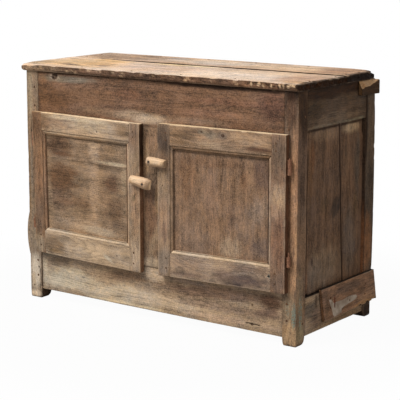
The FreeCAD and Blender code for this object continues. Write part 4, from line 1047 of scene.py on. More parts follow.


# Patches of colour, by board. A patch is its middle s and a, its half lengths, a colour, "paint" or
# the code for grime and painted shade, its strength, and if need be its turn in degrees and the
# side that it is on. Some of the colour patches are painted light and painted shade, as marked.
PATCHES = {
    "front_left_post": [
        (780, -566, 110, 14, "91806a", 0.9), (760, -540, 90, 12, "7b6857", 0.8),
        (470, -548, 190, 11, "68503a", 0.9), (480, -574, 230, 6, "7b6043", 0.8),
        (620, -556, 60, 12, "442b1b", 0.6), (283, -553, 14, 6, "2f1406", 0.95),
        (225, -552, 50, 24, "897864", 0.8), (95, -556, 78, 26, "cbbaa4", 0.95),
        (60, -562, 40, 9, "ae9a81", 0.8), (14, -552, 18, 30, "edd5b8", 0.8),
        (560, -552, 20, 8, "311408", 0.5), (100, -533, 12, 4, "4a3c30", 0.8)],
    "front_right_post": [
        (790, 550, 80, 34, "4d382c", 0.85), (835, 552, 30, 40, "180b06", 0.8),
        (480, 562, 220, 18, "ba9274", 0.8), (600, 574, 190, 7, "8e6d57", 0.8),
        (330, 574, 150, 7, "bc9574", 0.7), (230, 552, 60, 30, "bd926e", 0.8),
        (120, 545, 70, 26, "8e7b66", 0.8), (35, 552, 50, 40, "aa8c6b", 0.85),
        (125, 545, 60, 12, "paint", 0.47), (100, 568, 62, 12, "paint", 0.52),
        (190, 542, 30, 8, "paint", 0.45), (160, 20, 120, 26, "8c765e", 0.7, 0, "high"),
        # The strip at a 550 is painted shadow beside the right door's edge.
        (115, 22, 90, 20, "paint", 0.5, 0, "high"), (430, 550, 240, 4, "6d4e38", 0.9),
        (620, 27, 200, 44, "5f4b3f", 0.9, 0, "high"),
        (790, 27, 120, 60, "382618", 0.92, 0, "high"), (40, 24, 40, 30, "9a8868", 0.7, 0, "high")],
    "rear_right_post": [
        (270, 35, 110, 30, "8a5f40", 0.8, 0, "high"), (250, 572, 160, 24, "8a5e40", 0.9),
        (690, 52, 150, 7, "dirt", 0.9, 0, "high"), (300, 54, 260, 2.5, "dirt", 0.8, 0, "high"),
        (20, 20, 30, 40, "2a1c13", 0.8, 0, "high")],
    "front_top_rail": [
        (-380, 824, 150, 13, "73685a", 0.95), (-446, 829, 22, 9, "e3c7ad", 0.75),
        (-430, 755, 90, 45, "5d422d", 0.7), (-300, 770, 130, 40, "72543d", 0.6),
        (-110, 790, 70, 26, "775744", 0.75), (-60, 716, 130, 20, "98826c", 0.95),
        (-20, 708, 70, 18, "b5a18d", 0.9), (-250, 722, 110, 12, "8e7158", 0.6),
        (230, 750, 120, 14, "886754", 0.7), (330, 790, 190, 14, "83604e", 0.6),
        (180, 715, 150, 14, "897362", 0.6), (480, 790, 60, 50, "67493c", 0.7),
        (330, 700, 230, 9, "5b4538", 0.7), (-500, 770, 26, 70, "6f5139", 0.7),
        # The long dark strip at a 838 is painted shadow under the top's overhang.
        (230, 838, 330, 9, "dirt", 0.95), (-436, 833, 6, 5, "dirt", 0.9),
        (-455, 826, 9, 2.5, "dirt", 0.7)],
    "front_bottom_rail": [
        (-450, 172, 90, 12, "8b8574", 0.85), (-340, 164, 120, 9, "867264", 0.7),
        (-390, 92, 150, 46, "c6b79f", 0.95), (-350, 100, 60, 18, "bcad9a", 0.7),
        (-140, 72, 220, 36, "c1b099", 0.95), (-380, 160, 160, 20, "a5917d", 0.9),
        (-440, 150, 60, 20, "6a5948", 0.7), (-110, 142, 150, 20, "7c6553", 0.85, 4),
        (0, 162, 55, 30, "c8b198", 0.9), (60, 70, 200, 26, "ceb8a0", 0.8),
        (250, 136, 300, 26, "7c6556", 0.95, 3), (140, 158, 110, 8, "917e72", 0.9),
        (480, 135, 50, 36, "5e4639", 0.9), (300, 90, 260, 18, "8b7768", 0.8),
        (330, 52, 200, 14, "baa18d", 0.8), (404, 52, 46, 7, "d1bba1", 0.85),
        (-510, 100, 14, 60, "bdaf9a", 0.8), (-100, 40, 200, 5, "ffe8bf", 0.5),
        (470, 100, 60, 20, "6c554d", 0.7)],
    "centre_stile": [
        (640, -5, 50, 50, "8e725c", 0.85), (560, -35, 60, 12, "b69a7b", 0.7),
        (380, -10, 110, 30, "7c5f4c", 0.8), (300, 5, 90, 16, "96816b", 0.7, 20),
        # By the left door's edge, the pale strip at a -50 is painted light against the door's cast
        # shadow, and the dark strip at a -36 is painted shade beside the door.
        (205, 0, 24, 60, "af9c86", 0.9), (440, -50, 240, 6, "9c7c60", 0.9),
        (440, -36, 240, 5, "5e4532", 0.6), (430, 10, 50, 12, "b18f6b", 0.7)],
    "side_top_rail": [
        (250, 735, 150, 22, "78624e", 0.8), (100, 800, 90, 60, "4c3b2b", 0.8),
        # The dark band at a 826 is painted shadow under the top's overhang, on both sides.
        (400, 800, 70, 50, "534438", 0.8), (230, 826, 280, 26, "2f1c0f", 0.9),
        (250, 716, 210, 3.5, "fffad3", 0.7), (220, 716, 180, 6, "664f3f", 0.85)],
    "side_bottom_rail": [
        # The dark strip at s 128 is painted shadow beside the mended board's front end.
        (128, 100, 12, 66, "534031", 0.85), (90, 110, 40, 30, "675d55", 0.8),
        (140, 70, 50, 40, "836e60", 0.8), (330, 35, 150, 12, "7a5d3f", 0.6)],
    "side_front_board": [
        # The strip at a 69 is painted shadow where the board meets the front post, and the one at s
        # 704 painted shadow under the top rail.
        (434, 69, 330, 3.6, "dirt", 0.95), (704, 180, 4.5, 150, "dirt", 0.95),
        (690, 175, 30, 110, "836953", 0.9, 3), (620, 105, 60, 18, "855b40", 0.6),
        (430, 270, 70, 30, "3a302a", 0.75, 60), (450, 190, 30, 30, "5f4c3a", 0.6),
        (230, 180, 90, 130, "84705e", 0.8), (265, 112, 18, 8, "302525", 0.8),
        (215, 118, 62, 2.6, "3c3b35", 0.8), (560, 90, 150, 20, "6d513a", 0.6),
        (200, 70, 50, 12, "9e6e4c", 0.6)],
    "side_rear_board": [
        # The strip at s 704 is painted shadow under the top rail.
        (704, 365, 4.5, 100, "dirt", 0.95), (690, 365, 20, 70, "b39879", 0.85),
        (560, 410, 120, 24, "4d443c", 0.75), (420, 400, 60, 16, "65503b", 0.6),
        (300, 360, 130, 50, "63564d", 0.7), (600, 330, 60, 14, "5a493a", 0.5)],
    "top_front_board": [
        (-430, 130, 190, 130, "c3a27b", 0.95), (-380, 250, 110, 50, "cda46d", 0.7),
        (-560, 60, 60, 60, "90754f", 0.6), (-60, 150, 220, 120, "c2aa9b", 0.75),
        (-60, 275, 160, 18, "ffe7b4", 0.6), (240, 110, 210, 110, "d7c6b8", 0.9),
        (500, 150, 90, 140, "ab8c77", 0.85), (540, 40, 40, 50, "b49272", 0.8),
        (-420, 60, 40, 22, "67574c", 0.8), (-300, 90, 26, 16, "6f6870", 0.7),
        (585, 110, 18, 160, "3a2a1d", 0.9), (60, 2, 90, 12, "d2cdc2", 0.5),
        (-200, 10, 90, 14, "c8baab", 0.5), (-500, 12, 110, 20, "a28971", 0.7, 0, "low"),
        (430, 12, 130, 14, "8c684f", 0.55, 0, "low"), (585, 270, 20, 30, "33251a", 0.9),
        (572, 55, 16, 8, "dirt", 0.9), (560, 96, 26, 3, "dirt", 0.8),
        (576, 104, 12, 5, "dirt", 0.9)],
    "top_rear_board": [
        (-430, 400, 180, 90, "947c68", 0.8), (0, 410, 220, 80, "d0c0b2", 0.85),
        (300, 400, 160, 90, "d2b9a0", 0.8), (500, 400, 90, 110, "9c7c66", 0.85),
        (582, 400, 16, 130, "392a1e", 0.9), (545, 465, 40, 9, "4c3d33", 0.8),
        (576, 482, 26, 18, "412a19", 0.9), (560, 312, 24, 5, "dirt", 0.9),
        (574, 322, 14, 9, "dirt", 0.95), (-220, 450, 60, 30, "8a888d", 0.6)],
    "left_door_hinge_stile": [
        (650, -512, 70, 30, "664e3d", 0.8), (460, -505, 110, 14, "926d51", 0.7),
        (320, -515, 70, 26, "69574a", 0.7), (215, -510, 40, 30, "94836e", 0.85),
        (430, -530, 170, 5, "6e5743", 0.8)],
    "left_door_lock_stile": [
        # The dark patch on the upper front of the right side face is painted shade.
        (640, 13, 120, 22, "dirt", 0.9, 0, "high"), (650, -70, 60, 40, "7f6756", 0.9),
        (560, -75, 60, 18, "9f8871", 0.6), (400, -65, 110, 20, "b89374", 0.6),
        (440, -72, 12, 7, "675c47", 0.8), (455, -66, 8, 5, "2e241a", 0.7),
        (250, -70, 60, 30, "bea892", 0.7), (230, -88, 40, 4, "887762", 0.7)],
    "left_door_top_rail": [
        (-470, 668, 40, 40, "6e5541", 0.85), (-400, 672, 70, 26, "8a7462", 0.8),
        (-250, 670, 110, 26, "a0907d", 0.85), (-120, 670, 50, 30, "664f38", 0.7),
        (-234, 655, 12, 5, "bdb0a2", 0.8), (-330, 690, 150, 7, "ddcaae", 0.6)],
    "left_door_bottom_rail": [
        (-450, 222, 60, 40, "755f49", 0.85), (-400, 250, 40, 12, "736454", 0.7),
        (-280, 222, 90, 36, "baa690", 0.7), (-170, 248, 50, 12, "b7a28c", 0.8, 25),
        (-150, 215, 60, 16, "a29282", 0.8), (-190, 210, 26, 8, "bdb5a9", 0.8, -30),
        (-115, 230, 22, 20, "82715e", 0.6), (-440, 195, 60, 9, "8b6f4f", 0.7)],
    "left_door_panel_lower_board": [
        (-410, 470, 90, 60, "5f432e", 0.85), (-330, 390, 90, 26, "684f3b", 0.7),
        (-420, 390, 60, 40, "6c5444", 0.7), (-255, 440, 24, 130, "a38971", 0.85),
        (-205, 430, 26, 90, "8a715c", 0.7), (-178, 475, 34, 34, "624a3b", 0.85),
        (-160, 385, 44, 50, "695342", 0.8), (-330, 315, 130, 22, "a48d77", 0.9),
        (-150, 330, 40, 16, "68574a", 0.7), (-230, 300, 90, 16, "a99987", 0.8),
        (-470, 360, 20, 120, "947b62", 0.6), (-120, 500, 16, 60, "ab9478", 0.6)],
    "left_door_panel_upper_board": [
        (-420, 585, 80, 40, "594334", 0.85), (-300, 600, 60, 20, "877361", 0.6),
        (-255, 580, 26, 50, "ac9682", 0.8), (-150, 585, 60, 40, "8a725a", 0.8),
        (-170, 548, 90, 7, "bdaa8e", 0.8), (-400, 556, 60, 8, "4d3223", 0.6)],
    "right_door_hinge_stile": [
        (640, 520, 70, 40, "605248", 0.85), (500, 522, 46, 34, "ab9179", 0.95),
        (450, 510, 30, 20, "a48874", 0.7), (350, 520, 100, 30, "7b5c4b", 0.7),
        (215, 520, 40, 34, "7b6659", 0.8), (420, 543, 200, 4, "74675c", 0.6)],
    "right_door_lock_stile": [
        (655, 55, 76, 36, "5f4f44", 0.95), (645, 62, 56, 26, "4a3d34", 0.8),
        (585, 62, 30, 24, "655142", 0.8), (490, 50, 70, 26, "907a64", 0.85),
        (390, 56, 70, 26, "a4856c", 0.7), (235, 55, 60, 34, "7c7169", 0.9),
        (330, 60, 40, 12, "69564d", 0.7), (190, 78, 16, 4, "46473f", 0.6)],
    "right_door_top_rail": [
        (140, 672, 60, 14, "665240", 0.8), (170, 686, 80, 7, "604c3d", 0.7),
        (120, 648, 50, 10, "7d634a", 0.7), (255, 680, 30, 16, "847564", 0.8),
        (300, 683, 22, 12, "63564d", 0.8), (400, 678, 90, 22, "a0866e", 0.9, -8),
        (440, 648, 60, 10, "4e342a", 0.8), (250, 650, 60, 12, "b3997e", 0.6),
        (220, 690, 20, 10, "857a6b", 0.7)],
    "right_door_bottom_rail": [
        (160, 232, 90, 30, "967f6c", 0.8), (150, 198, 80, 10, "6a574e", 0.7),
        (380, 205, 120, 32, "584b47", 0.95), (300, 215, 40, 22, "7b6961", 0.8),
        (400, 245, 90, 12, "897365", 0.8), (390, 232, 70, 5, "908277", 0.6, 12),
        (280, 245, 60, 10, "ad9783", 0.7), (340, 190, 60, 6, "372f30", 0.7)],
    "right_door_panel": [
        (530, 150, 90, 40, "81624b", 0.7), (590, 280, 20, 170, "765a46", 0.7),
        (570, 450, 60, 40, "614e45", 0.8), (470, 250, 110, 30, "806757", 0.6),
        (440, 430, 40, 60, "927e6f", 0.7, -45), (370, 370, 40, 60, "8a7362", 0.6, -45),
        (305, 320, 40, 50, "a08c79", 0.8), (330, 180, 60, 60, "846d5c", 0.7),
        (320, 450, 40, 50, "6e5d54", 0.8), (420, 330, 60, 20, "7c6353", 0.6),
        (540, 380, 40, 16, "7b5a43", 0.6)],
    "right_repair_board": [
        (178, 110, 14, 60, "685140", 0.8), (450, 82, 60, 24, "9d7b61", 0.85),
        (330, 140, 120, 22, "655349", 0.8), (430, 62, 90, 7, "a37c55", 0.85),
        (229, 104, 6, 26, "561d0e", 0.95), (390, 100, 20, 8, "9c745e", 0.6),
        (300, 72, 60, 6, "604735", 0.7)],
    "side_block": [
        (400, 8, 12, 8, "8a6544", 0.6, 0, "high"), (480, 14, 12, 14, "7b5a3e", 0.7, 0, "high")],
    # On each button the pale patch above the pivot is a painted highlight on its top, and the
    # darker one below it painted shade on its underside.
    "upper_turn_button": [
        (40, 574, 40, 10, "dcc0a0", 0.7), (68, 565, 9, 18, "a98f74", 0.8),
        (30, 558, 50, 6, "957a62", 0.7), (9, 569, 6, 6, "5f3c28", 0.85),
        (-2, 575, 8, 10, "d2b394", 0.6)],
    "lower_turn_button": [
        (-50, 494, 30, 9, "dfc3a2", 0.7), (-2, 489, 8, 26, "8d735b", 0.8),
        (-40, 480, 40, 6, "98795c", 0.7), (-19, 489, 6, 6, "5a3824", 0.85)],
}

# The cupboard's own boards


def patches_of(node):
    """A board's patches: its own, or those that both sides share."""
    return PATCHES.get(node) or PATCHES.get(node.split("_", 1)[1], [])


def simple(node, along, face, slot, s=None, a=None, code=None, **options):
    """A board that fills its node's box, or these parts of it."""
    low, high = span(node)
    axis, normal = "xyz".index(along), "xyz".index(face[1])
    cross = 3 - axis - normal
    level = high[normal] if face[0] == "+" else low[normal]
    options.setdefault("patches", patches_of(node))
    shape = board(along, face, s or (low[axis], high[axis]), a or (low[cross], high[cross]),
                  level, high[normal] - low[normal], tone(slot, code), **options)
    piece(node, shape, slot)


def quarter(reach, distance):
    """How far a quarter-round of unit radius is in, this far up from its end."""
    u = np.clip(1 - distance / reach, 0, 1)
    return 1 - np.sqrt(1 - 0.995 * u ** 2)


# How far in and how far up a foot is rounded, at the low and at the high end of its x and its y
FOOT_X = {"left": ((4.0, 34.0), (6.0, 12.0)), "right": ((8.0, 26.0), (4.0, 9.0))}
FOOT_Y = {"front": ((3.0, 6.0), (24.0, 30.0)), "rear": ((27.0, 24.0), (5.0, 12.0))}


def post(where, side_name, code, sides, **options):
    """A post that runs down to the floor, its foot rounded by wear and wet."""
    node = where + "_" + side_name + "_post"
    low, high = span(node)

    def foot(place):
        z = place[:, 2]
        for axis, ends_worn in enumerate((FOOT_X[side_name], FOOT_Y[where])):
            (low_in, low_up), (high_in, high_up) = ends_worn
            start = low[axis] + low_in * quarter(low_up, z)
            stop = high[axis] - high_in * quarter(high_up, z)
            if axis == 0 and node == "rear_right_post":
                bow = np.sin(math.pi * np.clip((z - 60) / (high[2] - 60), 0, 1)) ** 0.7
                stop = stop + 5.5 * bow * smooth(460, 499, place[:, 1])
            share = (place[:, axis] - low[axis]) / (high[axis] - low[axis])
            place[:, axis] = start + share * (stop - start)
        return place

    simple(node, "z", "-y" if where == "front" else "+y", "frame_wood", code=code, bend=foot,
           fine=True, sides=sides, **options)


class CUPBOARD_OT_posts(bpy.types.Operator):
    """Make the four posts"""

    bl_idname = "cupboard.posts"
    bl_label = "Posts"

    def execute(self, context):
        post("front", "left", "847260", ("8f7c66", "5d4a3a"), arris=(0.6, 0.5, 1, 1), chip=2.0,
             dirt=(0.7, 0, 0, 0), caps=("2a1b12", None),
             knots=[(118, -538, 3.0), (46, -561, 3.0)], seed=11)
        post("front", "right", "6a594c", ("5a4636", "7f6551"), arris=(0.5, 3.6, 1, 1), chip=2.0,
             dirt=(0.7, 0, 0.2, 0), caps=("2a1b12", None), wear=0.3, seed=12)
        post("rear", "left", "6a5645", ("5d4a3a", "6a5645"), arris=1.6, seed=13)
        post("rear", "right", "43342a", ("5b3d2a", "5a4a3c"), arris=(1.0, 1.2, 2.0, 1.2),
             wear=0.15, seed=14)
        return {"FINISHED"}


class CUPBOARD_OT_front_frame(bpy.types.Operator):
    """Make the two rails and the centre stile of the front"""

    bl_idname = "cupboard.front_frame"
    bl_label = "Front frame"

    def execute(self, context):
        inner = (span("front_left_post")[1][0], span("front_right_post")[0][0])
        top_low = span("front_top_rail")[0][2]
        bottom_high = span("front_bottom_rail")[1][2]
        # The strong darkening along the top edge is painted shadow under the top's overhang. The
        # ends are darker by the posts.
        simple("front_top_rail", "x", "-y", "frame_wood", s=inner, code="725745", run=4.0,
               column=4.0, arris=(1.2, 0.6, 1, 1), dirt=(0.6, 0.5, 0, 1.0),
               knots=[(-444, 829, 9.5)], seed=21,
               cracks=[(-458, -430, 835, 835, 3.0, 5.0), (-466, -446, 829, 825, 2.0, 4.0),
                       (-457, -436, 819, 822, 1.8, 3.5)])
        simple("front_bottom_rail", "x", "-y", "frame_wood", s=inner,
               a=((36.5, 26.5), bottom_high), code="a08b75", arris=(0.9, 0.8, 1, 1), chip=2.0,
               dirt=(0.5, 0.4, 0, 0.5), knots=[(404, 51, 4.0), (405, 118, 3.0)], seed=22,
               cracks=[(378, 440, 52, 50, 3.2, 5.0), (-205, -150, 57, 61, 1.6, 3.0)])
        simple("centre_stile", "z", "-y", "frame_wood", s=(bottom_high, top_low), code="786453",
               arris=0.6, seed=23)
        return {"FINISHED"}


class CUPBOARD_OT_side_walls(bpy.types.Operator):
    """Make the rails and upright boards of both sides"""

    bl_idname = "cupboard.side_walls"
    bl_label = "Side walls"

    def execute(self, context):
        depth = (span("front_left_post")[1][1], span("rear_left_post")[0][1])
        for side_name, face, seed in (("left", "-x", 31), ("right", "+x", 41)):
            simple(side_name + "_side_top_rail", "y", face, "side_wood", s=depth, code="564435",
                   arris=(1.4, 0.6, 1, 1), chip=5.0, wear=0.35, dirt=(0.6, 0.4, 0, 0.8),
                   seed=seed)
            node = side_name + "_side_bottom_rail"
            # The rail's top face is near black: painted shadow under the side boards.
            simple(node, "y", face, "side_wood", s=depth, a=(span(node)[0][2], 156.0),
                   code="9e866e", arris=(1.6, 1.2, 1, 1), dirt=(0.85, 0.4, 0, 0.6),
                   sides=(None, "1c130d"), soil=3.0, seed=seed + 1)
            side_board(side_name, "front", face, 315.75, seed + 2, knots=[(622, 262, 1.6)],
                       cracks=[(608, 640, 265, 268, 1.2, 2.0), (252, 262, 183, 177, 2.0, 4.0),
                               (263, 272, 178, 184, 2.0, 4.0)])
            side_board(side_name, "rear", face, 318.25, seed + 3, knots=[(610, 408, 1.8)])
        return {"FINISHED"}


def side_board(side_name, where, face, seam, seed, **options):
    """An upright board of a side, by a seam that leans. Those of the right side have shrunk."""
    node = side_name + "_side_" + where + "_board"
    low, high = span(node)
    leaning = (seam, seam - 39.0)

    def shrunk_front(place):
        y, z = place[:, 1].copy(), place[:, 2].copy()
        gone = 10.5 + 4 * smooth(640, 668, z) + 1.2 * waver(z, 60, seed)
        place[:, 1] += gone * smooth(120, low[1], y)
        place[:, 2] += (10 + 7 * smooth(90, 56, y)) * smooth(225, low[2], z)
        return place

    def shrunk_rear(place):
        y, z = place[:, 1].copy(), place[:, 2].copy()
        gone = 6.5 + 10 * smooth(648, 672, z) + 1.2 * waver(z, 60, seed)
        place[:, 1] -= gone * smooth(380, high[1], y)
        return place

    a, shrunk = (((low[1], leaning), shrunk_front) if where == "front"
                 else ((leaning, high[1]), shrunk_rear))
    # Darker along the foot, painted shadow above the rail and the mended board, and along both
    # seams, part grime and part painted shade.
    simple(node, "z", face, "side_wood", a=a, code="6a5241", arris=0.8, wear=0.3, soil=3.2,
           sides=("120c08", "120c08"), dirt=(0.9, 0.3, 1.0, 1.0), seed=seed,
           bend=shrunk if side_name == "right" else None, **options)


class CUPBOARD_OT_back_wall(bpy.types.Operator):
    """Make the rails and boards of the back"""

    bl_idname = "cupboard.back_wall"
    bl_label = "Back wall"

    def execute(self, context):
        inner = (span("rear_left_post")[1][0], span("rear_right_post")[0][0])
        for node, seed in (("back_top_rail", 51), ("back_bottom_rail", 52)):
            simple(node, "x", "+y", "inner_wood", s=inner, wear=0.4, seed=seed)
        for n, code in enumerate(("7d6651", "756049", "84705a", "796149")):
            node = "back_board_%d" % (n + 1)
            low, high = span(node)
            simple(node, "z", "+y", "inner_wood", a=(low[0] - 0.5, high[0] + 0.5), code=code,
                   run=12.0, column=10.0, arris=0.6, chip=1.0, wave=0.2, wear=0.4,
                   dirt=(0.5, 0.3, 0.5, 0.5), seed=53 + n)
        return {"FINISHED"}


class CUPBOARD_OT_inside(bpy.types.Operator):
    """Make the floor, the shelf and the bearers under them"""

    bl_idname = "cupboard.inside"
    bl_label = "Floor and shelf"

    def execute(self, context):
        seeds = itertools.count(61)
        for storey in ("floor", "shelf"):
            for where in ("front", "rear"):
                notched(storey + "_" + where + "_board", where, next(seeds))
            for side_name, face in (("left", "+x"), ("right", "-x")):
                simple(side_name + "_" + storey + "_bearer", "y", face, "inner_wood",
                       seed=next(seeds))
        return {"FINISHED"}


def notched(node, where, seed):
    """A floor or shelf board between the posts, with the ears that pass them."""
    low, high = span(node)
    play, gap = 1.5, 0.05
    corner = span("front_right_post")[0][0] - play
    ear = ((span("front_left_post")[1][1] + play, high[1]) if where == "front"
           else (low[1], span("rear_left_post")[0][1] - play))
    places = (((-corner, corner), (low[1], high[1]), {"run": 12.0}),
              ((low[0], -corner - gap), ear, {}), ((corner + gap, high[0]), ear, {}))
    parts = [board("x", "+z", s, a, high[2], high[2] - low[2], tone("inner_wood"), seed=seed,
                   column=10.0, **options) for s, a, options in places]
    piece(node, joined(parts), "inner_wood")


class CUPBOARD_OT_top(bpy.types.Operator):
    """Make the two boards of the top"""

    bl_idname = "cupboard.top"
    bl_label = "Top"

    def execute(self, context):
        low, high = span("top_front_board")
        simple("top_front_board", "x", "+z", "top_wood", s=(low[0] - 3, high[0]),
               bend=gnawed_edge, run=4.0, column=4.0, arris=(1.1, 0.8, 1, 2.0), chip=1.6,
               rough=(0.4, 4.5), code="ceb6a1", sides=("5f493b", "5b4431"),
               caps=("8a705a", "371e09"), dirt=(0, 0.85, 0, 0.3), seed=71,
               knots=[(-425, 66, 6.0), (-565, 25, 3.0), (165, 262, 3.0), (-300, 85, 4.5)],
               cracks=[(430, 585, 118, 104, 1.2, 3.0), (-590, -540, 235, 240, 1.0, 2.5)],
               patches=PATCHES["top_front_board"] + crumbled(73))
        simple("top_rear_board", "x", "+z", "top_wood", code="b89c84", bend=broken_corner,
               arris=(1.2, 2.0, 1, 1), chip=3.0, rough=(0.4, 4.0), sides=("33261b", "6a5443"),
               caps=("6f5a48", "0d0805"), dirt=(0, 0.85, 0.5, 0), seed=72,
               knots=[(120, 420, 4.0), (-560, 350, 3.5)],
               cracks=[(500, 586, 470, 452, 2.6, 9.0), (-596, -480, 440, 446, 1.0, 2.5)])
        return {"FINISHED"}


def end_pits(x, y, z):
    """How deep the pits in the top's crumbled right end are, from 0 up."""
    return np.clip(noise(np.stack([x / 30, y / 13, z / 40], 1), 9) - 0.1, 0, 1)


def gnawed_edge(place):
    """The front board's gnawed front edge, rounded corners and crumbled right end."""
    low, high = span("top_front_board")
    under = low[2]
    x, y, z = place.T  # Views, so they follow each change
    drop = 4 * smooth(-500, -588, x) * smooth(6, -13, y)
    drop -= 3.6 * smooth(-250, -560, x) * smooth(-5, 60, y)
    drop += 0.8 * smooth(380, 590, x) * smooth(30, -13, y)
    crumbs = np.stack([x / 6.5, y / 6.5, z / 6], 1)
    crumbs = np.clip(noise(crumbs, 7) + 0.5 * noise(crumbs * 2.1, 8), 0, 1)
    pits = end_pits(x, y, z)
    end = smooth(568, 586, x)
    edge = np.clip(smooth(4, -10, y) * smooth(390, 440, x) + end, 0, 1)
    drop += 3.4 * crumbs * edge + 12 * pits * end
    place[:, 2] = under + (z - under) * (1 - drop / (high[2] - under))
    tuck = 10 * quarter(13, place[:, 2] - under)
    gnawed = np.clip(noise(np.stack([x / 19, y / 10, z / 9], 1), 13) - 0.05, 0, 1)
    gnawed *= smooth(405, 380, x)
    place[:, 2] -= 5 * gnawed * smooth(4, -13, y) * smooth(856, 868, z)
    place[:, 1] += (tuck + 6 * gnawed) * smooth(low[1] + 40, low[1], y)
    place[:, 1] += 4 * crumbs * edge * smooth(12, -13, y)
    place[:, 0] += tuck * 0.8 * smooth(low[0] + 30, low[0], x)
    round_off = 13 * quarter(20, y - low[1]) + 3.5 * crumbs + 12 * pits
    place[:, 0] -= round_off * smooth(high[0] - 60, high[0], x)
    place[:, 0] += 3 * quarter(6, y - low[1]) * smooth(low[0] + 40, low[0], x)
    return place


def broken_corner(place):
    """The rear board's crumbled right end, with its rear corner broken off."""
    under, over = span("top_front_board")[0][2], span("top_rear_board")[1][2]
    x, y, z = place.T  # Views, so they follow each change
    drop = 1 + 2 * smooth(480, 590, x) * smooth(380, 500, y)
    pits = end_pits(x, y, z)
    drop += 12 * pits * smooth(568, 586, x)
    place[:, 2] = under + (z - under) * (1 - drop / (over - under))
    upper = smooth(857, 862, z)
    chip = 14 * smooth(455, 462, y) * (1 - upper) + upper * np.clip(0.6 * (y - 454), 0, 32)
    place[:, 0] -= (chip + 4 * pits) * smooth(530, 586, x)
    return place


def crumbled(seed):
    """Pits and pale crumbs along the top's front edge, as patches on its low side."""
    random = np.random.default_rng(seed)
    looks = [("dirt", 0.7), ("dirt", 0.4), ("5b4331", 0.7), ("c9ab88", 0.45)]
    spots = []
    for x in np.arange(-585, 392, 11.0):
        size = random.uniform(3.0, 8.0)
        code, strength = looks[random.integers(4)]
        spots.append((x + random.uniform(-4, 4), random.uniform(0, 18), size, size * 0.6, code,
                      strength, 0, "low"))
    for x in np.arange(392, 580, 6.4):
        size, depth = random.uniform(4.6, 7.0), random.uniform(0, 13)
        code, strength = ("dirt", 0.9) if random.random() < 0.5 else ("e3c29c", 0.85)
        spots.append((x, depth, size, size, code, strength, 0, "low"))
    return spots


# The doors' places and looks. hinge and free are distances of their edges from the middle. The
# sags are how far the side away from the hinges has dropped, at the bottom and at the top, and
# lean is how far the side by the hinges is out, by height. A bead is the colour of a moulding. On
# the left door's top rail and stiles and the right door's hinge stile it is lighter than the
# member: painted light against the shade that falls on the moulding.
LEFT_DOOR = {
    "side": -1, "hinge": 533.0, "free": 46.5, "low": 182.0, "high": 700.0,
    "low_sag": 14.0, "high_sag": 8.0, "hinge_stile": 45.0, "lock_stile": 46.0,
    "top_rail": 64.0, "bottom_rail": 84.0,
    "lean": ((182, 315, 575, 700), (5.5, 1.5, -2.5, -7.5)),
}
LEFT_LOOKS = {
    "hinge_stile": {"code": "81644d", "bead": "8e7059", "caps": (None, "b59c80"), "seed": 81},
    # The lock stile's right side colour is painted light, lightened against the shade on that face.
    "lock_stile": {"code": "8e7965", "bead": "bb9e83", "sides": (None, "7d5c45"),
                   "caps": (None, "d8c2a2"), "seed": 82},
    "top_rail": {"code": "ae967e", "bead": "b69d83", "sides": (None, "dcc6a6"),
                 "knots": [(-234, 655, 2.4)], "seed": 83},
    "bottom_rail": {"code": "ae9983", "bead": "cdb8a0", "knots": [(-150, 226, 2.2)], "seed": 84},
    "panel_lower_board": {"code": "8b745e", "dirt": (0.2, 0.15, 0.1, 0.5),
                          "cracks": [(-250, -118, 532, 530, 0.9, 1.5)], "seed": 85},
    "panel_upper_board": {"code": "8b745f", "dirt": (0.2, 0.15, 0, 0.4), "seed": 86},
}
RIGHT_DOOR = {
    "side": 1, "hinge": 546.0, "free": 30.5, "low": 181.0, "high": 704.0,
    "low_sag": 9.0, "high_sag": 3.0, "hinge_stile": 55.0, "lock_stile": 52.0,
    "top_rail": 71.0, "bottom_rail": 81.0, "lean": ((0, 1), (0, 0)),
}
RIGHT_LOOKS = {
    "hinge_stile": {"code": "856b59", "bead": "9d8673", "sides": (None, "523828"),
                    "caps": (None, "dcc6a6"), "seed": 91},
    "lock_stile": {"code": "8e7865", "bead": "89715c", "caps": (None, "d8c2a2"),
                   "knots": [(495, 52, 2.4)], "seed": 92},
    "top_rail": {"code": "917760", "bead": "886d55", "sides": (None, "d2bb9a"),
                 "knots": [(301, 684, 5.0), (215, 690, 3.0)], "seed": 93},
    "bottom_rail": {"code": "998574", "bead": "ceb79d", "holes": [((485, -22.3, 233), 3.6, 6)],
                    "seed": 94},
    "panel": {"code": "856b57", "dirt": (0.15, 0.3, 0.2, 0.2), "seed": 95},
}
STICKING, STEP, DROP, TONGUE = 13.0, 2.0, 6.0, 8.5
PANEL_BACK, PANEL_THICK, SEAM_DOWN, SEAM_GAP = 9.0, 9.0, 161.0, 0.3


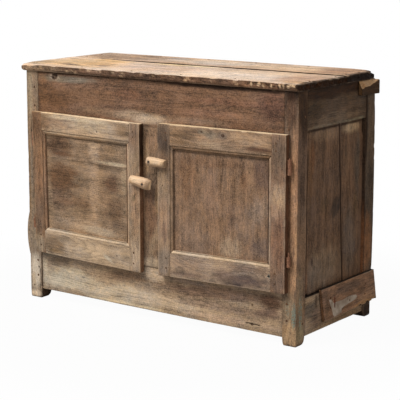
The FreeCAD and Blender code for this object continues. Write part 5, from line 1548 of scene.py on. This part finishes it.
def make_door(name, door, looks):
    """Four members, each with its moulded edge, and the panel between them."""
    side = door["side"]
    face, back = span(name + "_hinge_stile")[0][1], span(name + "_hinge_stile")[1][1]
    thick = back - face
    hinge, free, low, high = door["hinge"], door["free"], door["low"], door["high"]
    hinge_flat, free_flat = hinge - door["hinge_stile"], free + door["lock_stile"]
    low_flat, high_flat = low + door["bottom_rail"], high - door["top_rail"]
    hinge_open, free_open = hinge_flat - STICKING, free_flat + STICKING
    low_open, high_open = low_flat + STICKING, high_flat - STICKING

    def sag(place):
        loose = (hinge - side * place[:, 0]) / (hinge - free)
        high_share = (place[:, 2] - low) / (high - low)
        place[:, 0] += np.interp(place[:, 2], *door["lean"]) * np.clip(1 - loose * 1.3, 0, 1)
        place[:, 2] -= loose * (door["low_sag"] + (door["high_sag"] - door["low_sag"]) * high_share)
        return place

    def across(first, second):
        return tuple(sorted((side * first, side * second)))

    def member(key, along, s, a, strip_s, strip_a, opening):
        """One member and the moulding on its inner edge."""
        node = name + "_" + key
        look = dict(looks[key])
        bead, colour, holes = look.pop("bead"), linear(look.pop("code")), look.pop("holes", ())
        shared = {"patches": patches_of(node), "knots": look.pop("knots", ()), "bend": sag}
        flush = 0 if strip_a[0] >= a[1] else 1
        arris = [1.8, 1.8, 1.2, 1.2]
        arris[1 - flush] = 0.5

        def ovolo(_, at):
            u = np.clip(1 - abs(at - opening) / STICKING, 0, 1)
            return -DROP * (1 - np.sqrt(1 - np.minimum(u, 0.995) ** 2))

        # Darker along both edges of the moulding, by the flat and by the panel: part grime, part
        # painted shade in the creases.
        dirt = [0, 0, 0.1, 0.1]
        dirt[2 + flush], dirt[3 - flush] = 0.85, 0.35
        flat = board(along, "-y", s, a, face, thick, colour, arris=tuple(arris), **look, **shared)
        moulding = board(along, "-y", strip_s, strip_a, face + STEP, thick - STEP, linear(bead),
                         arris=0.5, chip=1.0, wave=0.2, column=1.6, relief=ovolo, dirt=dirt,
                         seed=look["seed"] + 200, **shared)
        piece(node, joined([flat, moulding]), "door_wood", holes)

    for key, edge, flat, opening in (("hinge_stile", hinge, hinge_flat, hinge_open),
                                     ("lock_stile", free, free_flat, free_open)):
        strip = across(flat, opening)
        opening_low = side * opening == strip[0]
        starts = (low_open, low_flat) if opening_low else (low_flat, low_open)
        stops = (high_open, high_flat) if opening_low else (high_flat, high_open)
        member(key, "z", (low, high), across(edge, flat), (starts, stops), strip, side * opening)
    for key, edge, flat, opening in (("top_rail", high, high_flat, high_open),
                                     ("bottom_rail", low, low_flat, low_open)):
        strip = tuple(sorted((flat, opening)))
        wide, narrow = across(hinge_flat, free_flat), across(hinge_open, free_open)
        starts, stops = (narrow[0], wide[0]), (narrow[1], wide[1])
        if opening != strip[0]:
            starts, stops = starts[::-1], stops[::-1]
        member(key, "x", wide, tuple(sorted((edge, flat))), (starts, stops), strip, opening)

    outs = across(hinge_open + TONGUE, free_open - TONGUE)
    make_panels(name, looks, outs, (low_open - TONGUE, high_open + TONGUE), high - SEAM_DOWN,
                face + PANEL_BACK, sag)


def make_panels(name, looks, outs, ups, seam, level, bend):
    """The boards inside a door's frame: one upright, or two across with a seam between them."""
    panels = {
        "panel_lower_board": ("x", outs, (ups[0], seam - SEAM_GAP)),
        "panel_upper_board": ("x", outs, (seam + SEAM_GAP, ups[1])),
        "panel": ("z", ups, outs),
    }
    for key, (along, s, a) in panels.items():
        if key in looks:
            look, node = dict(looks[key]), name + "_" + key
            colour = linear(look.pop("code"))
            piece(node, board(along, "-y", s, a, level, PANEL_THICK, colour, bend=bend, arris=0.7,
                              patches=patches_of(node), **look), "door_wood")


class CUPBOARD_OT_left_door(bpy.types.Operator):
    """Make the left door, whose panel is two boards laid across"""

    bl_idname = "cupboard.left_door"
    bl_label = "Left door"

    def execute(self, context):
        make_door("left_door", LEFT_DOOR, LEFT_LOOKS)
        return {"FINISHED"}


class CUPBOARD_OT_right_door(bpy.types.Operator):
    """Make the right door, whose panel is one upright board"""

    bl_idname = "cupboard.right_door"
    bl_label = "Right door"

    def execute(self, context):
        make_door("right_door", RIGHT_DOOR, RIGHT_LOOKS)
        return {"FINISHED"}


# What is left of a paper sheet on the mended board, as (y, z) places round its edge
PAPER = (
    (189, 124), (204, 121), (219, 107), (225, 106), (226, 87), (232, 87), (233, 106), (280, 104),
    (329, 107), (374, 103), (384, 96), (374, 88), (354, 84), (319, 82), (289, 78), (274, 72),
    (276, 61), (249, 58), (226, 56), (217, 66), (211, 84), (201, 101), (194, 116),
)


class CUPBOARD_OT_mended_boards(bpy.types.Operator):
    """Make the boards that were nailed on later"""

    bl_idname = "cupboard.mended_boards"
    bl_label = "Mended boards"

    def execute(self, context):
        # The mended board's top face is near black: painted shadow in the gap under the side
        # boards.
        simple("right_repair_board", "y", "+x", "repair_wood", s=((165.0, 141.0), (524.0, 501.0)),
               a=((51.5, 57.0), 168.0), column=4.0, run=4.0, code="866752", bend=broken_foot,
               arris=(1.6, 1.4, 1, 1), caps=("7d5c41", "5b4636"), sides=("6b4f38", "1c130d"),
               seed=101)
        torn_sheet("right_repair_board_paper", PAPER, "right_repair_board")
        simple("left_repair_slab", "y", "-x", "side_wood", bend=waney, code="8d7862",
               caps=("94806a", None), seed=102)
        simple("side_block", "y", "+x", "block_wood", bend=hewn, column=3.0, run=3.0,
               code="402e1f", sides=("3a2c20", "b08e6b"), caps=("6f5338", "33261c"), arris=1.2,
               wear=0.3, knots=[(405, 838, 2.5)], seed=103)
        return {"FINISHED"}


def broken_foot(place):
    """The mended board's lower edge, splintered towards the rear."""
    y, z = place[:, 1], place[:, 2]
    ragged = np.clip(waver(y, 17, 5) + 0.6 * waver(y, 6, 6), 0, 1) * smooth(330, 380, y)
    place[:, 2] += 7 * ragged * smooth(75, 58, z)
    return place


def waney(place):
    """The slab's outer face, round like the log that it was sawn from."""
    crown, inner = (corner[0] for corner in span("left_repair_slab"))
    u = (place[:, 2] - 240) / 80
    thick = 6 + (inner - crown - 1) * (1 - np.clip(u ** 2, 0, 1))
    place[:, 0] = inner + (place[:, 0] - inner) * thick / (inner - crown)
    return place


def hewn(place):
    """The side block's hollow, its rounded nose and its slanted upper corner."""
    low, high = span("side_block")
    nose = high[1] - 9
    along = np.clip((place[:, 1] - low[1]) / (nose - low[1]), 0, 1)
    thick = 15 + 13 * along - 16 * along * (1 - along)
    thick -= 9 * quarter(9, high[1] - place[:, 1])
    share = (place[:, 0] - low[0]) / (high[0] - low[0])
    place[:, 0] = low[0] + share * thick
    rise = np.interp(along, (0, 0.2, 0.5, 0.72, 0.92), (0, 6, 9, 17, 26))
    rise += 1.6 * waver(place[:, 1], 9, 7)
    lost = np.clip(26 * share * 1.1 - rise, 0, 26)
    tall, far = high[2] - low[2], high[1] - place[:, 1]
    lift, fall = 9 * quarter(11, far) * share, 6 * quarter(9, far) * share
    up = (place[:, 2] - low[2]) / tall
    place[:, 2] = low[2] + lift + up * (tall - lost - lift - fall)
    return place


def torn_sheet(name, outline, node):
    """A thin sheet on a board's right face, torn all along this outline of (y, z) places."""
    face = span(node)[1][0]
    line = np.array(outline, float)
    steps = np.array([start + (stop - start) * share
                      for start, stop in zip(line, np.roll(line, -1, 0))
                      for share in np.arange(0, 1, 0.2)])
    flat = np.concatenate([steps, np.zeros((len(steps), 1))], 1)
    steps[:, 0] += 1.3 * noise(flat / 5, 5)
    steps[:, 1] += 1.1 * noise(flat / 5, 6)
    made = bmesh.new()
    for lift in (0.05, 0.45):
        made.faces.new([made.verts.new(Vector((face + lift, y, z)) * MM + DATUM)
                        for y, z in steps])
    made.verts.ensure_lookup_table()
    count = len(steps)
    for n in range(count):
        after = (n + 1) % count
        made.faces.new([made.verts[k] for k in (n, after, count + after, count + n)])
    bmesh.ops.triangulate(made, faces=made.faces)
    bmesh.ops.recalc_face_normals(made, faces=made.faces)
    mesh = bpy.data.meshes.new(name)
    made.to_mesh(mesh)
    made.free()
    mesh.materials.append(material("paper"))
    ob = placed(name, mesh)
    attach(ob, frame["nodes"][node]["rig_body"])


def turned(centre, radius, start, stop, colour, seed):
    """A short round boss along y, closed at both ends."""
    slices = 28
    x, z = centre
    steps = ((0.0, 0.55), (0.0, 0.9), (1.2, 1.0), (8.0, 1.0), (stop - start, 1.0),
             (stop - start, 0.55))
    points = [(x, start, z)]
    for down, share in steps:
        for n in range(slices):
            angle = 2 * math.pi * n / slices
            here = radius * share * (1 + 0.03 * math.sin(5 * angle + seed))
            points.append((x + here * math.cos(angle), start + down, z + here * math.sin(angle)))
    points.append((x, stop, z))
    faces = [(0, 1 + n, 1 + (n + 1) % slices) for n in range(slices)]
    for ring in range(len(steps) - 1):
        first = 1 + ring * slices
        for n in range(slices):
            after = (n + 1) % slices
            faces.append((first + n, first + slices + n, first + slices + after, first + after))
    first = 1 + (len(steps) - 1) * slices
    faces += [(first + n, len(points) - 1, first + (n + 1) % slices) for n in range(slices)]
    place = np.array(points)
    return {"place": place, "faces": faces,
            **describe(place[:, [0, 2, 1]], colour, (0, 1, 0, 1), seed)}


# The turn buttons: the pivot's x and z, the radius round it, how far the arm and the tail reach,
# the way the arm points, its tilt in degrees, the colour of its right end and its seed. The lower
# button's pale right end is painted light, brightened against the shade on it.
BUTTONS = {
    "upper_turn_button": ((9.0, 569.0), 16.3, 62.0, 14.5, 1, 2.5, "a08870", 111),
    "lower_turn_button": ((-19.0, 489.0), 19.0, 61.0, 24.0, -1, 10.0, "f0d0a8", 112),
}
BUTTON_FACE, BUTTON_BACK, BUTTON_HALF, ARM_HALF = -45.0, -23.1, 14.5, 13.6


class CUPBOARD_OT_turn_buttons(bpy.types.Operator):
    """Make the two whittled turn buttons"""

    bl_idname = "cupboard.turn_buttons"
    bl_label = "Turn buttons"

    def execute(self, context):
        for node, sizes in BUTTONS.items():
            turn_button(node, *sizes)
        return {"FINISHED"}


def turn_button(node, centre, boss, arm, tail, way, tilt, end_colour, seed):
    """A whittled arm with a nail hole, on a round boss."""
    x, z = centre
    turn = math.radians(tilt)

    def whittled(place):
        out = (place[:, 0] - x) * way
        half = np.interp(out, (-tail, -tail * 0.4, boss * 0.6, arm * 0.55, arm),
                         (boss * 0.88, boss, boss * 0.97, boss * 0.5 + 6.8, ARM_HALF))
        share = (place[:, 2] - z) / BUTTON_HALF
        place[:, 2] = z + share * half
        deep = (place[:, 1] - BUTTON_FACE) / (BUTTON_BACK - BUTTON_FACE)
        rounding = 11 * (1 - np.sqrt(1 - 0.97 * np.clip(share, -1, 1) ** 2))
        rounding += 6 * quarter(9, out + tail) + 4 * quarter(6, arm - out)
        place[:, 1] += np.minimum(rounding, 19) * (1 - deep)
        off_x, off_z = place[:, 0] - x, place[:, 2] - z
        place[:, 0] = x + off_x * math.cos(turn) + off_z * math.sin(turn)
        place[:, 2] = z + off_z * math.cos(turn) - off_x * math.sin(turn)
        return place

    whittled_arm = board(
        "x", "-y", tuple(sorted((x - way * tail, x + way * arm))),
        (z - BUTTON_HALF, z + BUTTON_HALF), BUTTON_FACE, BUTTON_BACK - BUTTON_FACE,
        linear("c9a98a"), arris=4.2, chip=1.5, wave=0.8, column=2.5, run=3.0, bend=whittled,
        rough=(1.5, 0.6), caps=(None, end_colour), patches=PATCHES[node], wear=0.5, seed=seed)
    round_boss = turned(centre, boss * 0.98, BUTTON_BACK - 6, -0.3, linear("9a7f66"), seed)
    piece(node, joined([whittled_arm, round_boss]), "button_wood",
          holes=[((x, BUTTON_FACE, z), 3.4, 5.0)])


class CUPBOARD_OT_hinges(bpy.types.Operator):
    """Give the hinges their rusty iron"""

    bl_idname = "cupboard.hinges"
    bl_label = "Hinges"

    def execute(self, context):
        for node in ("left_door_hinge_leaves", "right_door_hinge_leaves", "hinge_pins",
                     "left_post_hinge_leaves", "right_post_hinge_leaves"):
            mesh = frame["nodes"][node].data
            mesh.materials.clear()
            mesh.materials.append(material("iron"))
        return {"FINISHED"}


class CUPBOARD_OT_fasteners(bpy.types.Operator):
    """Drive the pegs and the nails"""

    bl_idname = "cupboard.fasteners"
    bl_label = "Pegs and nails"

    def execute(self, context):
        pegs, nails = peg_tree(), nail_tree()
        for n, node in enumerate(("frame_pegs", "left_door_pegs", "right_door_pegs")):
            fasteners(node, "peg_wood", pegs, {}, seed=n)
        for n, node in enumerate(("top_nails", "case_nails", "button_nails")):
            fasteners(node, "iron", nails, {}, seed=n)
        for n, node in enumerate(("left_door_hinge_nails", "right_door_hinge_nails")):
            fasteners(node, "iron", nails, {"Shank": 0.9}, slim=1.15, seed=n)
        return {"FINISHED"}


# The lamps: their places, how wide they are in metres, and their colours
LAMPS = {
    "key": ((-1.2, -2.9, 4.4), 2.6, (1.0, 0.97, 0.93)),
    "fill": ((4.2, -1.4, 2.2), 2.4, (1.0, 0.97, 0.94)),
}
LAMPS_AIM = Vector((0, 0, 0.45))


class CUPBOARD_OT_stage(bpy.types.Operator):
    """Set up the floor, the lamps and the camera"""

    bl_idname = "cupboard.stage"
    bl_label = "Stage"

    def execute(self, context):
        scene, look = context.scene, context.scene.cupboard_stage
        scene.view_settings.view_transform = "Standard"
        data = bpy.data.cameras.new("Camera")
        data.lens, data.sensor_width, data.clip_end = look.lens, 36.0, 100.0
        camera = placed("Camera", data)
        camera.location = Vector(look.camera) + DATUM
        camera.rotation_euler = (math.pi / 2 + look.pitch, 0, look.yaw)
        scene.camera = camera

        floor = bpy.data.meshes.new("floor")
        floor.from_pydata([(-9, -9, 0), (9, -9, 0), (9, 9, 0), (-9, 9, 0)], [], [(0, 1, 2, 3)])
        floor.materials.append(pale_floor())
        placed("floor", floor)

        for name, (place, size, colour) in LAMPS.items():
            lamp = bpy.data.lights.new(name, "AREA")
            lamp.shape, lamp.size, lamp.color = "DISK", size, colour
            lamp.energy = getattr(look, name)
            light = placed(name, lamp)
            light.location = place
            aim = LAMPS_AIM - light.location
            light.rotation_euler = aim.to_track_quat("-Z", "Y").to_euler()

        scene.world = bpy.data.worlds.new("Studio")
        scene.world.use_nodes = True
        graph = Graph(scene.world.node_tree)
        seen = graph.node("ShaderNodeLightPath", {}, {}, "Is Camera Ray")
        for ray in ("Is Transmission Ray", "Is Glossy Ray"):
            seen = seen.math("MAXIMUM", graph.node("ShaderNodeLightPath", {}, {}, ray))
        even = graph.node("ShaderNodeBackground", {}, {"Color": (1, 1, 1), "Strength": look.sky})
        white = graph.node("ShaderNodeBackground", {}, {"Color": (1, 1, 1), "Strength": 1.0})
        mixed = graph.node("ShaderNodeMixShader", {}, {0: seen, 1: even, 2: white})
        graph.node("ShaderNodeOutputWorld", {}, {"Surface": mixed})
        return {"FINISHED"}


def pale_floor():
    """A white floor that keeps a soft shadow near the cupboard and has no edge to the camera."""
    shader = Shader("pale_floor")
    matt = shader.node("ShaderNodeBsdfDiffuse", {}, {"Color": (0.4, 0.4, 0.4)})
    white = shader.node("ShaderNodeEmission", {}, {"Color": (1.0, 1.0, 1.0), "Strength": 1.0})
    seen = shader.node("ShaderNodeLightPath", {}, {}, "Is Camera Ray")
    place = shader.node("ShaderNodeTexCoord", {}, {}, "Object")
    away = shader.node("ShaderNodeVectorMath", {"operation": "LENGTH"}, {0: place}, "Value")
    share = 0.965 + 0.035 * away.step(0.8, 1.5)
    mixed = shader.node("ShaderNodeMixShader", {}, {0: seen * share, 1: matt, 2: white})
    shader.node("ShaderNodeOutputMaterial", {}, {"Surface": mixed})
    return shader.material


class CUPBOARD_PT_sidebar(bpy.types.Panel):
    """The cupboard's steps and settings"""

    bl_label = "Cupboard"
    bl_idname = "CUPBOARD_PT_sidebar"
    bl_space_type = "VIEW_3D"
    bl_region_type = "UI"
    bl_category = "Cupboard"

    def draw(self, context):
        for operator in OPERATORS:
            self.layout.operator(operator.bl_idname)
        for group in GROUPS:
            settings = getattr(context.scene, group)
            for key in settings.__annotations__:
                self.layout.prop(settings, key)


OPERATORS = (
    CUPBOARD_OT_posts, CUPBOARD_OT_front_frame, CUPBOARD_OT_side_walls, CUPBOARD_OT_back_wall,
    CUPBOARD_OT_inside, CUPBOARD_OT_top, CUPBOARD_OT_left_door, CUPBOARD_OT_right_door,
    CUPBOARD_OT_mended_boards, CUPBOARD_OT_turn_buttons, CUPBOARD_OT_hinges,
    CUPBOARD_OT_fasteners, CUPBOARD_OT_stage,
)
GROUPS = {
    "cupboard_sizes": CupboardSizes,
    "cupboard_colours": CupboardColours,
    "cupboard_stage": CupboardStage,
}


def register():
    for group in (*GROUPS.values(), *OPERATORS, CUPBOARD_PT_sidebar):
        bpy.utils.register_class(group)
    for name, group in GROUPS.items():
        setattr(bpy.types.Scene, name, bpy.props.PointerProperty(type=group))


def unregister():
    for name in GROUPS:
        delattr(bpy.types.Scene, name)
    for group in (CUPBOARD_PT_sidebar, *reversed(OPERATORS), *reversed(GROUPS.values())):
        bpy.utils.unregister_class(group)


def main():
    """Runs the steps in order and keeps the size of both models."""
    register()
    for operator in OPERATORS:
        space, name = operator.bl_idname.split(".")
        getattr(getattr(bpy.ops, space), name)()


if __name__ == "__main__":
    main()
